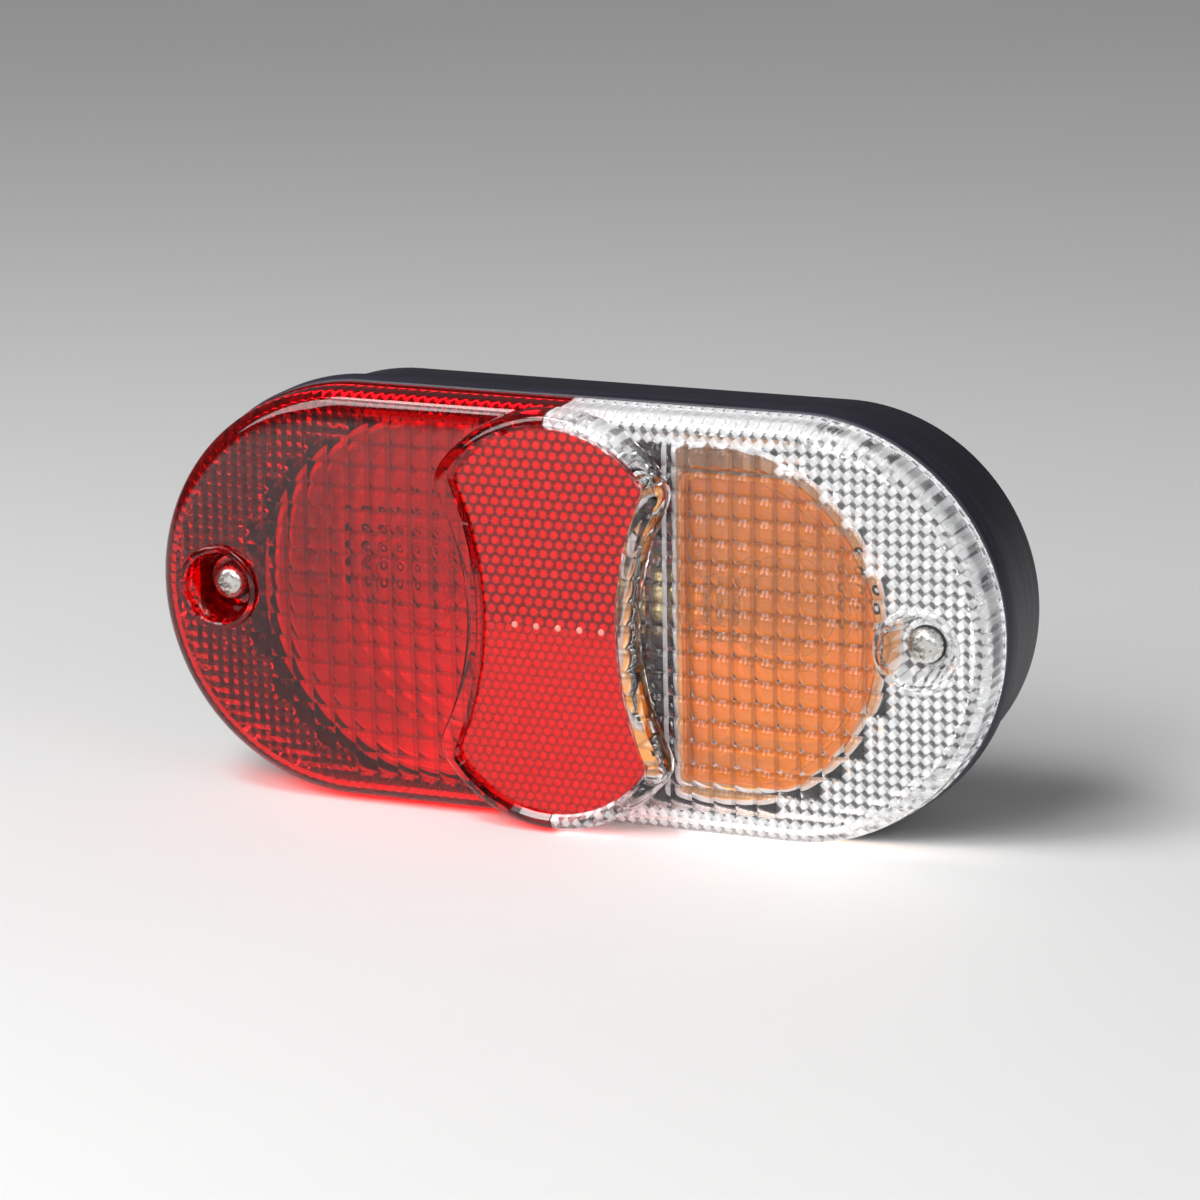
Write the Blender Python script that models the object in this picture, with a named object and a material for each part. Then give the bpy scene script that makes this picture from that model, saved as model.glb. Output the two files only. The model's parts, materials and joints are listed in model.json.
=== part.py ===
"""Trailer rear lamp: two-tier housing, two-colour lens, reflex reflector, two bayonet bulbs.

Metres. +X is to the right of someone facing the lamp, +Y points into the vehicle, +Z is up.
The rubber mounting pad lies on the plane Y = 0, so everything else has negative Y.
"""

import math

import bmesh
import bpy

# ---- overall sizes
LENGTH = 0.208            # lens outline, end to end
HEIGHT = 0.098            # lens outline, top to bottom
HOUSING_DEPTH = 0.034     # pad to the front rim of the housing
LENS_DEPTH = 0.013        # rim to the front of the lens
REFLECTOR_RAISE = 0.006   # how far the reflector frame stands in front of the lens

# ---- fits
GAP = 0.0003              # between touching pieces
RUN = 0.0003              # radial play of a turning or sliding piece
ARC_STEPS = 14            # segments in each round end
ROUND = 20                # segments in a turned piece
FINE_ROUND = 32           # segments in a large or close-fitting turned piece

# ---- mounting pad and housing
PAD_THICK = 0.0017
PAD_INSET = 0.005
RIM_LEDGE = 0.0009        # the front tier stands this far outside the lens
RIM_WIDTH = 0.0042
TIER_DEPTH = 0.0068       # front tier
TIER_STEP = 0.0024        # from the front tier in to the rear tier
REAR_TAPER = 0.0014
REAR_ROUND = 0.0012
WALL = 0.0026
FLOOR = 0.003
FLOOR_INSET = 0.009       # from the rim's outline in to the plain middle of the floor
SEAL_INSET = 0.0014       # from the rim's edge to the seal groove
SEAL_WIDTH = 0.0018
SEAL_DEPTH = 0.0016

# ---- lens shell
SKIN = 0.0025
LENS_ROUND = 0.0045
CROWN = 0.0012            # the front bulges by this much
BEAD = 0.0004             # bead round the back edge of the lens

# ---- lens screws
SCREW_FROM_END = 0.0166
WELL_DEPTH = 0.0084       # lens front to the seat under the washer
WELL_MOUTH_RADIUS = 0.0083
WELL_SEAT_RADIUS = 0.0062
CUP_RADIUS = 0.0102
CUP_RAISE = 0.001
PILLAR_RADIUS = 0.0052
HEAD_RADIUS = 0.0042
HEAD_HEIGHT = 0.0025
SHANK_RADIUS = 0.0018
BORE_PLAY = 0.0005        # shank to the hole through the lens
SCREW_LENGTH = 0.016      # under the head
WASHER_THICK = 0.001
WASHER_WIDTH = 0.0024
RECESS_LENGTH = 0.0044
RECESS_WIDTH = 0.0009
RECESS_DEPTH = 0.0014
INSERT_WALL = 0.0011
INSERT_LENGTH = 0.009
BOSS_WALL = 0.0022

# ---- reflector
OPENING_CORNER_X = 0.0235
OPENING_WAIST = 0.0164
OPENING_APEX_DROP = 0.0035   # apex below the lens outline
OPENING_ARC = 0.013          # corner below the apex
FRAME_CORNER_X = 0.0296
FRAME_WAIST = 0.021
FRAME_APEX_RISE = 0.0005     # apex above the lens outline
FRAME_ARC = 0.0175
SEAT_LIP = 0.0009            # how far the seat is let in behind the opening's edge
SEAT_DEPTH = 0.0017          # frame front to the seat
REFLECTOR_THICK = 0.0025
BACKING_THICK = 0.0015

# ---- reflector trays
TRAY_INNER_X = 0.0245     # flat wall beside the bulb holder
TRAY_WALL = 0.0012
TRAY_FLANGE = 0.0012
TRAY_MARGIN = 0.003       # tray to the housing wall and to the screw boss
TRAY_FLOOR_INSET = 0.009
TRAY_HOLE_PLAY = 0.0009

# ---- amber filter
AMBER_INNER_X = 0.0295
AMBER_EDGE = 0.0024       # inside the tray's rim
AMBER_CUT = 0.0365        # flat top and bottom, from the middle
AMBER_BACK = 0.0055       # lens inner face to the filter's back
AMBER_WALL = 0.0014

# ---- bulbs, along the outward axis from the lamp's middle
CAP_RADIUS = 0.0075
CAP_WALL = 0.0006
CAP_START = 0.0155
CAP_LENGTH = 0.0155
PIN_RADIUS = 0.001
PIN_REACH = 0.0012
PIN_OFFSET = 0.005        # cap end to the first pin
PIN_STAGGER = 0.003       # between the two pins of the stop/tail bulb
BASE_LENGTH = 0.0028
GLOBE_RADIUS = 0.0125
GLOBE_CENTRE = 0.0465
GLASS_WALL = 0.0008
NECK_START = 0.0245
BULB_CLEARANCE = 0.005    # globe to the tray's floor
CONTACT_RADIUS = 0.0013
CONTACT_HEIGHT = 0.0007
CONTACT_SPREAD = 0.0031   # the stop/tail bulb's contacts from its axis

# ---- bayonet sockets and holder
PUSH = 0.0015             # travel of the contact disc
TWIST = math.radians(22)
SLEEVE_WALL = 0.0009
SLEEVE_BACK = 0.004
SLEEVE_END = 0.028
COLLAR = 0.0014
DISC_THICK = 0.0016
RIVET_HEAD_RADIUS = 0.0019
RIVET_HEAD_THICK = 0.0005
RIVET_SHANK_RADIUS = 0.0008
RIVET_TAIL = 0.0022
SPRING_WIRE = 0.00035
SPRING_TURNS = 3.0
BRACKET_SHEET = 0.0012
BRACKET_HALF_X = 0.0162
BRACKET_HALF_Z = 0.0150
CHEEK_MARGIN = 0.0032
HOLDER_RIVET_Z = 0.0115
HOLDER_RIVET_SHANK = 0.0014
HOLDER_RIVET_HEAD = 0.003
HOLDER_RIVET_THICK = 0.0011
RIVET_POCKET = 0.0013
TAB_SHEET = 0.0008
TAB_WIDTH = 0.0063
TAB_HEIGHT = 0.009

# ---- fixing holes and cable inlet
FIXING_X = 0.062
FIXING_BORE = 0.0031
BUSH_WALL = 0.0014
BUSH_FLANGE = 0.0015
BUSH_FLANGE_THICK = 0.0012
INLET_Z = -0.031
INLET_BORE = 0.0036
GROMMET_WALL = 0.0018
GROMMET_FLANGE = 0.0025
GROMMET_FLANGE_THICK = 0.0015

# ---- worked out from the sizes above
HALF_LENGTH = LENGTH / 2
HALF_HEIGHT = HEIGHT / 2
HOUSING_REAR = -(PAD_THICK + GAP)
RIM_Y = HOUSING_REAR - HOUSING_DEPTH
FLOOR_Y = HOUSING_REAR - FLOOR
LENS_REAR = RIM_Y - GAP
LENS_FRONT = RIM_Y - LENS_DEPTH
FRAME_FRONT = LENS_FRONT - REFLECTOR_RAISE
SCREW_X = HALF_LENGTH - SCREW_FROM_END
WELL_SEAT_Y = LENS_FRONT + WELL_DEPTH
HEAD_UNDER_Y = WELL_SEAT_Y - WASHER_THICK - 2 * GAP
SCREW_TIP_Y = HEAD_UNDER_Y + SCREW_LENGTH
INSERT_BORE = SHANK_RADIUS + RUN
INSERT_RADIUS = INSERT_BORE + INSERT_WALL
BOSS_RADIUS = INSERT_RADIUS + GAP + BOSS_WALL
TRAY_FLOOR_Y = FLOOR_Y - GAP
TRAY_RIM_Y = RIM_Y - 0.002
TRAY_END = SCREW_X - BOSS_RADIUS - TRAY_FLANGE - TRAY_MARGIN
TRAY_RADIUS = HALF_HEIGHT + RIM_LEDGE - TIER_STEP - REAR_TAPER - WALL - TRAY_FLANGE + 0.0005
TRAY_CENTRE = TRAY_END - TRAY_RADIUS
AXIS_Y = TRAY_FLOOR_Y - TRAY_WALL - BULB_CLEARANCE - GLOBE_RADIUS
SLEEVE_BORE = CAP_RADIUS + RUN
SLEEVE_RADIUS = SLEEVE_BORE + SLEEVE_WALL
PIN_X = CAP_START + PIN_OFFSET
BASE_START = CAP_START - GAP - 0.0008
CONTACT_START = BASE_START - GAP - CONTACT_HEIGHT
DISC_FRONT = CONTACT_START - 2 * GAP - RIVET_HEAD_THICK
DISC_BACK = DISC_FRONT - DISC_THICK
CHEEK_X = BRACKET_HALF_X - BRACKET_SHEET
BRACKET_Y = FLOOR_Y - GAP
OPENING_APEX = HALF_HEIGHT - OPENING_APEX_DROP
FRAME_APEX = HALF_HEIGHT + FRAME_APEX_RISE

COLOURS = {
    "black_plastic": (0.016, 0.016, 0.02),
    "black_rubber": (0.012, 0.012, 0.012),
    "red_plastic": (0.45, 0.01, 0.01),
    "clear_plastic": (0.8, 0.8, 0.82),
    "red_reflex": (0.7, 0.02, 0.02),
    "amber_plastic": (0.85, 0.3, 0.02),
    "silver": (0.75, 0.76, 0.78),
    "grey_plastic": (0.25, 0.25, 0.26),
    "stainless": (0.62, 0.62, 0.6),
    "zinc": (0.55, 0.57, 0.6),
    "brass": (0.75, 0.55, 0.2),
    "phenolic": (0.35, 0.2, 0.08),
    "spring_steel": (0.4, 0.4, 0.42),
    "bulb_glass": (0.85, 0.9, 0.92),
    "bulb_black": (0.02, 0.02, 0.03),
    "solder": (0.6, 0.6, 0.62),
}


# ---- outlines: lists of (x, z)

def stadium(half_length, half_height, inset):
    """A bar with round ends, drawn `inset` inside its outline."""
    centre = half_length - half_height
    radius = half_height - inset
    points = []
    for side in (1, -1):
        for i in range(ARC_STEPS + 1):
            angle = math.pi * (i / ARC_STEPS - 0.5)
            points.append((side * (centre + radius * math.cos(angle)), side * radius * math.sin(angle)))
    return points


def lens_outline(inset):
    return stadium(HALF_LENGTH, HALF_HEIGHT, inset)


def housing_outline(inset):
    return stadium(HALF_LENGTH, HALF_HEIGHT, inset - RIM_LEDGE)


def window_outline(flat_x, edge, cut=None):
    """A disc round the tray's centre, cut off straight at flat_x and, if asked, above and below."""
    radius = TRAY_RADIUS - edge
    end = math.acos((flat_x - TRAY_CENTRE) / radius)
    points = []
    steps = 2 * ARC_STEPS
    for i in range(steps + 1):
        angle = end * (2 * i / steps - 1)
        z = radius * math.sin(angle)
        if cut is not None:
            z = max(-cut, min(cut, z))
        points.append((TRAY_CENTRE + radius * math.cos(angle), z))
    return points


def arc_through(start, middle, end, steps):
    """Points of the circle through three points, leaving out the last."""
    (ax, ay), (bx, by), (cx, cy) = start, middle, end
    d = 2 * (ax * (by - cy) + bx * (cy - ay) + cx * (ay - by))
    a2, b2, c2 = ax * ax + ay * ay, bx * bx + by * by, cx * cx + cy * cy
    ux = (a2 * (by - cy) + b2 * (cy - ay) + c2 * (ay - by)) / d
    uy = (a2 * (cx - bx) + b2 * (ax - cx) + c2 * (bx - ax)) / d
    radius = math.hypot(ax - ux, ay - uy)
    first = math.atan2(ay - uy, ax - ux)
    sweep = math.atan2(cy - uy, cx - ux) - first
    half = math.atan2(by - uy, bx - ux) - first
    turn = 2 * math.pi
    sweep, half = sweep % turn, half % turn
    if half > sweep:
        sweep -= turn
    angles = [first + sweep * i / steps for i in range(steps)]
    return [(ux + radius * math.cos(t), uy + radius * math.sin(t)) for t in angles]


def hourglass(corner_x, apex_z, arc, waist):
    """The reflector's outline: bulging top and bottom, pinched sides."""
    corner_z = apex_z - arc
    corners = [(-corner_x, corner_z), (corner_x, corner_z), (corner_x, -corner_z), (-corner_x, -corner_z)]
    middles = [(0, apex_z), (waist, 0), (0, -apex_z), (-waist, 0)]
    points = []
    for i in range(4):
        points += arc_through(corners[i], middles[i], corners[(i + 1) % 4], 10)
    return points


def opening_outline(grow=0.0):
    return hourglass(OPENING_CORNER_X + grow, OPENING_APEX + grow, OPENING_ARC, OPENING_WAIST + grow)


# ---- builders

def clear_scene():
    for obj in list(bpy.data.objects):
        bpy.data.objects.remove(obj)


def material(name):
    mat = bpy.data.materials.get(name)
    if mat is None:
        mat = bpy.data.materials.new(name)
        mat.use_nodes = True
        mat.diffuse_color = (*COLOURS[name], 1)
        mat.node_tree.nodes["Principled BSDF"].inputs["Base Color"].default_value = (*COLOURS[name], 1)
    return mat


def finish_mesh(name, mesh, slot):
    """Faces outwards, and in the scene under its name. A tool has no slot and stays hidden."""
    bmesh.ops.remove_doubles(mesh, verts=mesh.verts, dist=1e-7)
    bmesh.ops.recalc_face_normals(mesh, faces=mesh.faces)
    if mesh.calc_volume(signed=True) < 0:
        bmesh.ops.reverse_faces(mesh, faces=mesh.faces)
    data = bpy.data.meshes.new(name)
    mesh.to_mesh(data)
    mesh.free()
    obj = bpy.data.objects.new(name, data)
    bpy.context.scene.collection.objects.link(obj)
    if slot is None:
        obj.hide_render = True
        obj.display_type = "WIRE"
    else:
        data.materials.append(material(slot))
    return obj


def skin_rings(mesh, rings, closed=False):
    """Quads between neighbouring rings of equal count, then caps, or a join of the last to the first."""
    pairs = list(zip(rings, rings[1:]))
    if closed:
        pairs.append((rings[-1], rings[0]))
    for low, high in pairs:
        for i in range(len(low)):
            j = (i + 1) % len(low)
            mesh.faces.new((low[i], low[j], high[j], high[i]))
    if not closed:
        mesh.faces.new(rings[0])
        mesh.faces.new(rings[-1])


def loft(name, slot, sections, closed=False):
    """A body through sections of (outline, y)."""
    mesh = bmesh.new()
    rings = [[mesh.verts.new((x, y, z)) for x, z in outline] for outline, y in sections]
    skin_rings(mesh, rings, closed)
    return finish_mesh(name, mesh, slot)


def turned(name, slot, profile, centre, axis="Y", closed=False, steps=ROUND):
    """A body of revolution. profile is (radius, along); a radius of 0 ends it in a point on the axis."""
    mesh = bmesh.new()

    def place(radius, along, angle):
        across, up = radius * math.cos(angle), radius * math.sin(angle)
        if axis == "Y":
            return (centre[0] + across, along, centre[1] + up)
        return (along, centre[0] + across, centre[1] + up)

    rings = []
    for radius, along in profile:
        count = 1 if radius == 0 else steps
        rings.append([mesh.verts.new(place(radius, along, 2 * math.pi * i / steps)) for i in range(count)])
    pairs = list(zip(rings, rings[1:]))
    if closed:
        pairs.append((rings[-1], rings[0]))
    for low, high in pairs:
        for i in range(steps):
            j = (i + 1) % steps
            corners = [low[i % len(low)], low[j % len(low)], high[j % len(high)], high[i % len(high)]]
            mesh.faces.new(list(dict.fromkeys(corners)))
    if not closed:
        for ring in (rings[0], rings[-1]):
            if len(ring) > 1:
                mesh.faces.new(ring)
    return finish_mesh(name, mesh, slot)


def ring_profile(inner, outer, low, high):
    return [(inner, low), (outer, low), (outer, high), (inner, high)]


def box(name, slot, low, high):
    mesh = bmesh.new()
    corners = [(x, y, z) for x in (low[0], high[0]) for y in (low[1], high[1]) for z in (low[2], high[2])]
    verts = [mesh.verts.new(corner) for corner in corners]
    for face in ((0, 1, 3, 2), (4, 6, 7, 5), (0, 4, 5, 1), (2, 3, 7, 6), (0, 2, 6, 4), (1, 5, 7, 3)):
        mesh.faces.new([verts[i] for i in face])
    return finish_mesh(name, mesh, slot)


def sector(name, inner, outer, first, last, low, high):
    """A slice of a tube round the bulb axis, along X, as a cutter. Angles run from +Z towards -Y."""
    mesh = bmesh.new()
    steps = 6
    angles = [first + (last - first) * i / steps for i in range(steps + 1)]
    rim = [(outer, a) for a in angles] + [(inner, a) for a in reversed(angles)]
    rings = []
    for x in (low, high):
        rings.append([mesh.verts.new((x, AXIS_Y - r * math.sin(a), r * math.cos(a))) for r, a in rim])
    skin_rings(mesh, rings)
    return finish_mesh(name, mesh, None)


def combine(target, operation, *tools):
    for tool in tools:
        modifier = target.modifiers.new(tool.name, "BOOLEAN")
        modifier.object = tool
        modifier.operation = operation
        modifier.solver = "EXACT"
    return target


def cut(target, *tools):
    return combine(target, "DIFFERENCE", *tools)


def join(target, *tools):
    return combine(target, "UNION", *tools)


def both_sides():
    return (("left", -1), ("right", 1))


# ---- housing and what is fixed to it

def make_housing():
    tier_y = RIM_Y + TIER_DEPTH
    rear = TIER_STEP + REAR_TAPER
    groove_in = SEAL_INSET + SEAL_WIDTH
    middle_y = (tier_y + HOUSING_REAR) / 2
    sections = [
        (FLOOR_INSET, HOUSING_REAR),
        (rear + REAR_ROUND, HOUSING_REAR),
        (rear, HOUSING_REAR - REAR_ROUND),
        (rear - REAR_TAPER / 3, middle_y + 0.0006),
        (rear - REAR_TAPER / 3 - 0.0005, middle_y),
        (TIER_STEP, tier_y),
        (0.0003, tier_y),
        (0.0, tier_y - 0.0003),
        (0.0, RIM_Y + 0.0004),
        (0.0004, RIM_Y),
        (SEAL_INSET, RIM_Y),
        (SEAL_INSET, RIM_Y + SEAL_DEPTH),
        (groove_in, RIM_Y + SEAL_DEPTH),
        (groove_in, RIM_Y),
        (RIM_WIDTH, RIM_Y),
        (RIM_WIDTH, tier_y - 0.002),
        (TIER_STEP + WALL, tier_y),
        (rear + WALL, FLOOR_Y),
        (FLOOR_INSET, FLOOR_Y),
    ]
    housing = loft("housing", "black_plastic", [(housing_outline(i), y) for i, y in sections])
    bosses, holes = [], []
    for side, sign in both_sides():
        place = (sign * SCREW_X, 0)
        bosses.append(turned(f"add_boss_{side}", None,
                             [(BOSS_RADIUS + 0.001, FLOOR_Y + 0.0015), (BOSS_RADIUS, RIM_Y)], place))
        pocket = INSERT_RADIUS + GAP
        pocket_y = RIM_Y + INSERT_LENGTH + 2 * GAP
        bore_y = max(SCREW_TIP_Y + 0.002, pocket_y + 0.001)
        holes.append(turned(f"cut_insert_{side}", None,
                            [(pocket, RIM_Y - 0.001), (pocket, pocket_y), (SHANK_RADIUS + 0.0007, pocket_y),
                             (SHANK_RADIUS + 0.0007, bore_y)], place))
        bush = FIXING_BORE + BUSH_WALL + GAP
        holes.append(turned(f"cut_fixing_{side}", None,
                            [(bush, HOUSING_REAR + 0.001), (bush, FLOOR_Y - 0.001)], (sign * FIXING_X, 0)))
    inlet = INLET_BORE + GROMMET_WALL + GAP
    holes.append(turned("cut_inlet", None, [(inlet, HOUSING_REAR + 0.001), (inlet, FLOOR_Y - 0.001)],
                        (0, INLET_Z)))
    for z in (HOLDER_RIVET_Z, -HOLDER_RIVET_Z):
        shank, head = HOLDER_RIVET_SHANK + GAP, HOLDER_RIVET_HEAD + GAP
        pocket_y = HOUSING_REAR - RIVET_POCKET
        holes.append(turned(f"cut_rivet_{'upper' if z > 0 else 'lower'}", None,
                            [(head, HOUSING_REAR + 0.001), (head, pocket_y), (shank, pocket_y),
                             (shank, FLOOR_Y - 0.001)], (0, z)))
    cut(join(housing, *bosses), *holes)


def make_pad():
    """Rubber pad, with a hole behind each hole in the housing's floor."""
    rear = TIER_STEP + REAR_TAPER
    outline = housing_outline(rear + PAD_INSET)
    pad = loft("mounting_pad", "black_rubber", [(outline, 0.0), (outline, -PAD_THICK)])
    holes = []
    for side, sign in both_sides():
        bush = FIXING_BORE + BUSH_WALL + GAP
        holes.append(turned(f"cut_pad_fixing_{side}", None, [(bush, 0.001), (bush, -PAD_THICK - 0.001)],
                            (sign * FIXING_X, 0)))
    inlet = INLET_BORE + GROMMET_WALL + GAP
    holes.append(turned("cut_pad_inlet", None, [(inlet, 0.001), (inlet, -PAD_THICK - 0.001)], (0, INLET_Z)))
    cut(pad, *holes)


def make_seal():
    low, high = SEAL_INSET + GAP, SEAL_INSET + SEAL_WIDTH - GAP
    bottom = RIM_Y + SEAL_DEPTH - GAP
    sections = [(low, bottom), (low, RIM_Y), (high, RIM_Y), (high, bottom)]
    loft("lens_seal", "black_rubber", [(housing_outline(i), y) for i, y in sections], closed=True)


def flanged_bush(name, bore, wall, flange, flange_thick, centre):
    """A rubber bush through the floor, with a flange resting on the floor's inside."""
    outer, top = bore + wall, FLOOR_Y - GAP
    profile = [(bore, HOUSING_REAR), (outer, HOUSING_REAR), (outer, top), (outer + flange, top),
               (outer + flange, top - flange_thick), (bore, top - flange_thick)]
    turned(name, "black_rubber", profile, centre, closed=True)


def make_insert(side, sign):
    low, high = RIM_Y + 2 * GAP, RIM_Y + 2 * GAP + INSERT_LENGTH - GAP
    turned(f"screw_insert_{side}", "brass", ring_profile(INSERT_BORE, INSERT_RADIUS, low, high),
           (sign * SCREW_X, 0), closed=True)


def tray_sections():
    """(inset, y) from the back of the tray's floor round its rim to the front of its floor."""
    floor_in = TRAY_FLOOR_Y - TRAY_WALL
    slope = TRAY_FLOOR_INSET / 3
    return [
        (TRAY_FLOOR_INSET, TRAY_FLOOR_Y), (slope, TRAY_FLOOR_Y - 0.004), (0.0, TRAY_FLOOR_Y - 0.014),
        (0.0, TRAY_RIM_Y + TRAY_WALL), (-TRAY_FLANGE, TRAY_RIM_Y + TRAY_WALL), (-TRAY_FLANGE, TRAY_RIM_Y),
        (TRAY_WALL, TRAY_RIM_Y), (TRAY_WALL, TRAY_FLOOR_Y - 0.014), (slope + TRAY_WALL, floor_in - 0.004),
        (TRAY_FLOOR_INSET + TRAY_WALL, floor_in),
    ]


def mirrored(outline, sign):
    return [(sign * x, z) for x, z in outline]


def make_tray(side, sign):
    sections = [(mirrored(window_outline(TRAY_INNER_X + i, i), sign), y) for i, y in tray_sections()]
    tray = loft(f"reflector_tray_{side}", "silver", sections)
    hole = SLEEVE_RADIUS + TRAY_HOLE_PLAY
    low, high = TRAY_INNER_X - 0.002, TRAY_INNER_X + TRAY_FLOOR_INSET / 3 + TRAY_WALL + 0.001
    socket = turned(f"cut_tray_socket_{side}", None, [(hole, sign * low), (hole, sign * high)],
                    (AXIS_Y, 0), "X")
    bush = FIXING_BORE + BUSH_WALL + BUSH_FLANGE + GAP
    fixing = turned(f"cut_tray_fixing_{side}", None,
                    [(bush, FLOOR_Y), (bush, TRAY_FLOOR_Y - 0.006)], (sign * FIXING_X, 0))
    cut(tray, socket, fixing)


# ---- bulb holder

def make_bracket():
    top = AXIS_Y - SLEEVE_RADIUS - CHEEK_MARGIN
    half = SLEEVE_RADIUS + CHEEK_MARGIN
    base_top = BRACKET_Y - BRACKET_SHEET
    bracket = box("holder_bracket", "zinc", (-BRACKET_HALF_X, base_top, -BRACKET_HALF_Z),
                  (BRACKET_HALF_X, BRACKET_Y, BRACKET_HALF_Z))
    holes = []
    for side, sign in both_sides():
        near, far = sorted((sign * CHEEK_X, sign * BRACKET_HALF_X))
        join(bracket, box(f"add_cheek_{side}", None, (near, top, -half), (far, base_top + 0.0004, half)))
        radius = SLEEVE_RADIUS + GAP
        holes.append(turned(f"cut_cheek_{side}", None,
                            [(radius, sign * (CHEEK_X - 0.001)), (radius, sign * (BRACKET_HALF_X + 0.001))],
                            (AXIS_Y, 0), "X"))
    for z in (HOLDER_RIVET_Z, -HOLDER_RIVET_Z):
        radius = HOLDER_RIVET_SHANK + GAP
        holes.append(turned(f"cut_bracket_{'upper' if z > 0 else 'lower'}", None,
                            [(radius, FLOOR_Y + 0.001), (radius, base_top - 0.001)], (0, z)))
    cut(bracket, *holes)


def make_holder_rivet(name, z, under_head):
    rear, head, shank = HOUSING_REAR - GAP, HOLDER_RIVET_HEAD, HOLDER_RIVET_SHANK
    rear_top = HOUSING_REAR - RIVET_POCKET + GAP
    profile = [(0, rear), (head, rear), (head, rear_top), (shank, rear_top), (shank, under_head),
               (head, under_head), (head, under_head - 0.4 * HOLDER_RIVET_THICK),
               (0.6 * head, under_head - HOLDER_RIVET_THICK), (0, under_head - HOLDER_RIVET_THICK)]
    turned(name, "zinc", profile, (0, z))


def make_earth_tab():
    """A blade folded up from a foot that the lower rivet holds down."""
    back = BRACKET_Y - BRACKET_SHEET - GAP
    front = back - TAB_SHEET
    low_z = -BRACKET_HALF_Z - 0.0006
    tab = box("earth_tab", "brass", (-TAB_WIDTH / 2, front, low_z),
              (TAB_WIDTH / 2, back, -HOLDER_RIVET_Z + HOLDER_RIVET_HEAD + 0.0006))
    blade = box("add_blade", None, (-TAB_WIDTH / 2, front - TAB_HEIGHT, low_z),
                (TAB_WIDTH / 2, front + 0.0002, low_z + TAB_SHEET))
    radius = HOLDER_RIVET_SHANK + GAP
    hole = turned("cut_tab", None, [(radius, back + 0.001), (radius, front - 0.001)], (0, -HOLDER_RIVET_Z))
    cut(join(tab, blade), hole)


def pin_positions(name):
    """(angle, distance along the axis) of the two bayonet pins."""
    stagger = PIN_STAGGER if name == "tail" else 0.0
    return ((0.0, PIN_X), (math.pi, PIN_X + stagger))


def make_socket(name, sign):
    """Sleeve with a back wall, a collar behind the cheek and a bayonet slot for each pin."""
    back, collar = SLEEVE_BACK, CHEEK_X - GAP
    outer, bore = SLEEVE_RADIUS, SLEEVE_BORE
    profile = [(0.45 * bore, back), (outer, back), (outer, collar - COLLAR),
               (outer + COLLAR, collar - COLLAR), (outer + COLLAR, collar), (outer, collar),
               (outer, SLEEVE_END), (bore, SLEEVE_END), (bore, back + SLEEVE_WALL),
               (0.45 * bore, back + SLEEVE_WALL)]
    sleeve = turned(f"socket_{name}", "brass", [(r, sign * u) for r, u in profile], (AXIS_Y, 0), "X",
                    closed=True, steps=FINE_ROUND)
    play = PIN_RADIUS + RUN
    half, turn = math.asin(play / bore), sign * TWIST
    for number, (angle, along) in enumerate(pin_positions(name)):
        low, high = along - PUSH - play, along + play
        inner, reach = bore - 0.0008, outer + COLLAR + 0.001
        window = sector(f"cut_window_{name}_{number}", inner, reach, angle + min(0, turn) - half,
                        angle + max(0, turn) + half, *sorted((sign * low, sign * high)))
        entry = sector(f"cut_entry_{name}_{number}", inner, reach, angle + turn - half, angle + turn + half,
                       *sorted((sign * (low + 0.0001), sign * (SLEEVE_END + 0.001))))
        cut(sleeve, window, entry)


def make_spring(name, sign):
    """A few turns of wire between the sleeve's back wall and the contact disc."""
    start = SLEEVE_BACK + SLEEVE_WALL + GAP + SPRING_WIRE
    end = DISC_BACK - GAP - SPRING_WIRE
    radius = SLEEVE_BORE - RUN - SPRING_WIRE - 0.0006
    curve = bpy.data.curves.new(f"socket_spring_{name}", "CURVE")
    curve.dimensions = "3D"
    curve.bevel_depth = SPRING_WIRE
    curve.bevel_resolution = 1
    curve.use_fill_caps = True
    count = int(14 * SPRING_TURNS) + 1
    spline = curve.splines.new("POLY")
    spline.points.add(count - 1)
    for i, point in enumerate(spline.points):
        angle = 2 * math.pi * SPRING_TURNS * i / (count - 1)
        x = sign * (start + (end - start) * i / (count - 1))
        point.co = (x, AXIS_Y + radius * math.cos(angle), radius * math.sin(angle), 1)
    obj = bpy.data.objects.new(curve.name, curve)
    bpy.context.scene.collection.objects.link(obj)
    curve.materials.append(material("spring_steel"))


def contact_places(name):
    """Where the contacts stand, as (y, z) from the bulb axis."""
    return (-CONTACT_SPREAD, CONTACT_SPREAD) if name == "tail" else (0.0,)


def make_contact_disc(name, sign):
    radius = SLEEVE_BORE - RUN
    disc = turned(f"contact_disc_{name}", "phenolic",
                  [(0, sign * DISC_BACK), (radius, sign * DISC_BACK), (radius, sign * DISC_FRONT),
                   (0, sign * DISC_FRONT)], (AXIS_Y, 0), "X")
    labels = ("contact_tail", "contact_stop") if name == "tail" else ("contact_indicator",)
    for label, offset in zip(labels, contact_places(name)):
        hole = RIVET_SHANK_RADIUS + GAP
        cut(disc, turned(f"cut_{label}", None,
                         [(hole, sign * (DISC_BACK - 0.001)), (hole, sign * (DISC_FRONT + 0.001))],
                         (AXIS_Y, offset), "X", steps=12))
        head, shank = RIVET_HEAD_RADIUS, RIVET_SHANK_RADIUS
        front = DISC_FRONT + GAP
        profile = [(0, DISC_BACK - RIVET_TAIL), (shank, DISC_BACK - RIVET_TAIL), (shank, front),
                   (head, front), (head, front + 0.5 * RIVET_HEAD_THICK),
                   (0.7 * head, front + RIVET_HEAD_THICK), (0, front + RIVET_HEAD_THICK)]
        turned(label, "brass", [(r, sign * u) for r, u in profile], (AXIS_Y, offset), "X", steps=16)


# ---- bulbs

def along_x(name, slot, sign, profile, **options):
    return turned(name, slot, [(r, sign * u) for r, u in profile], (AXIS_Y, 0), "X", **options)


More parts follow.
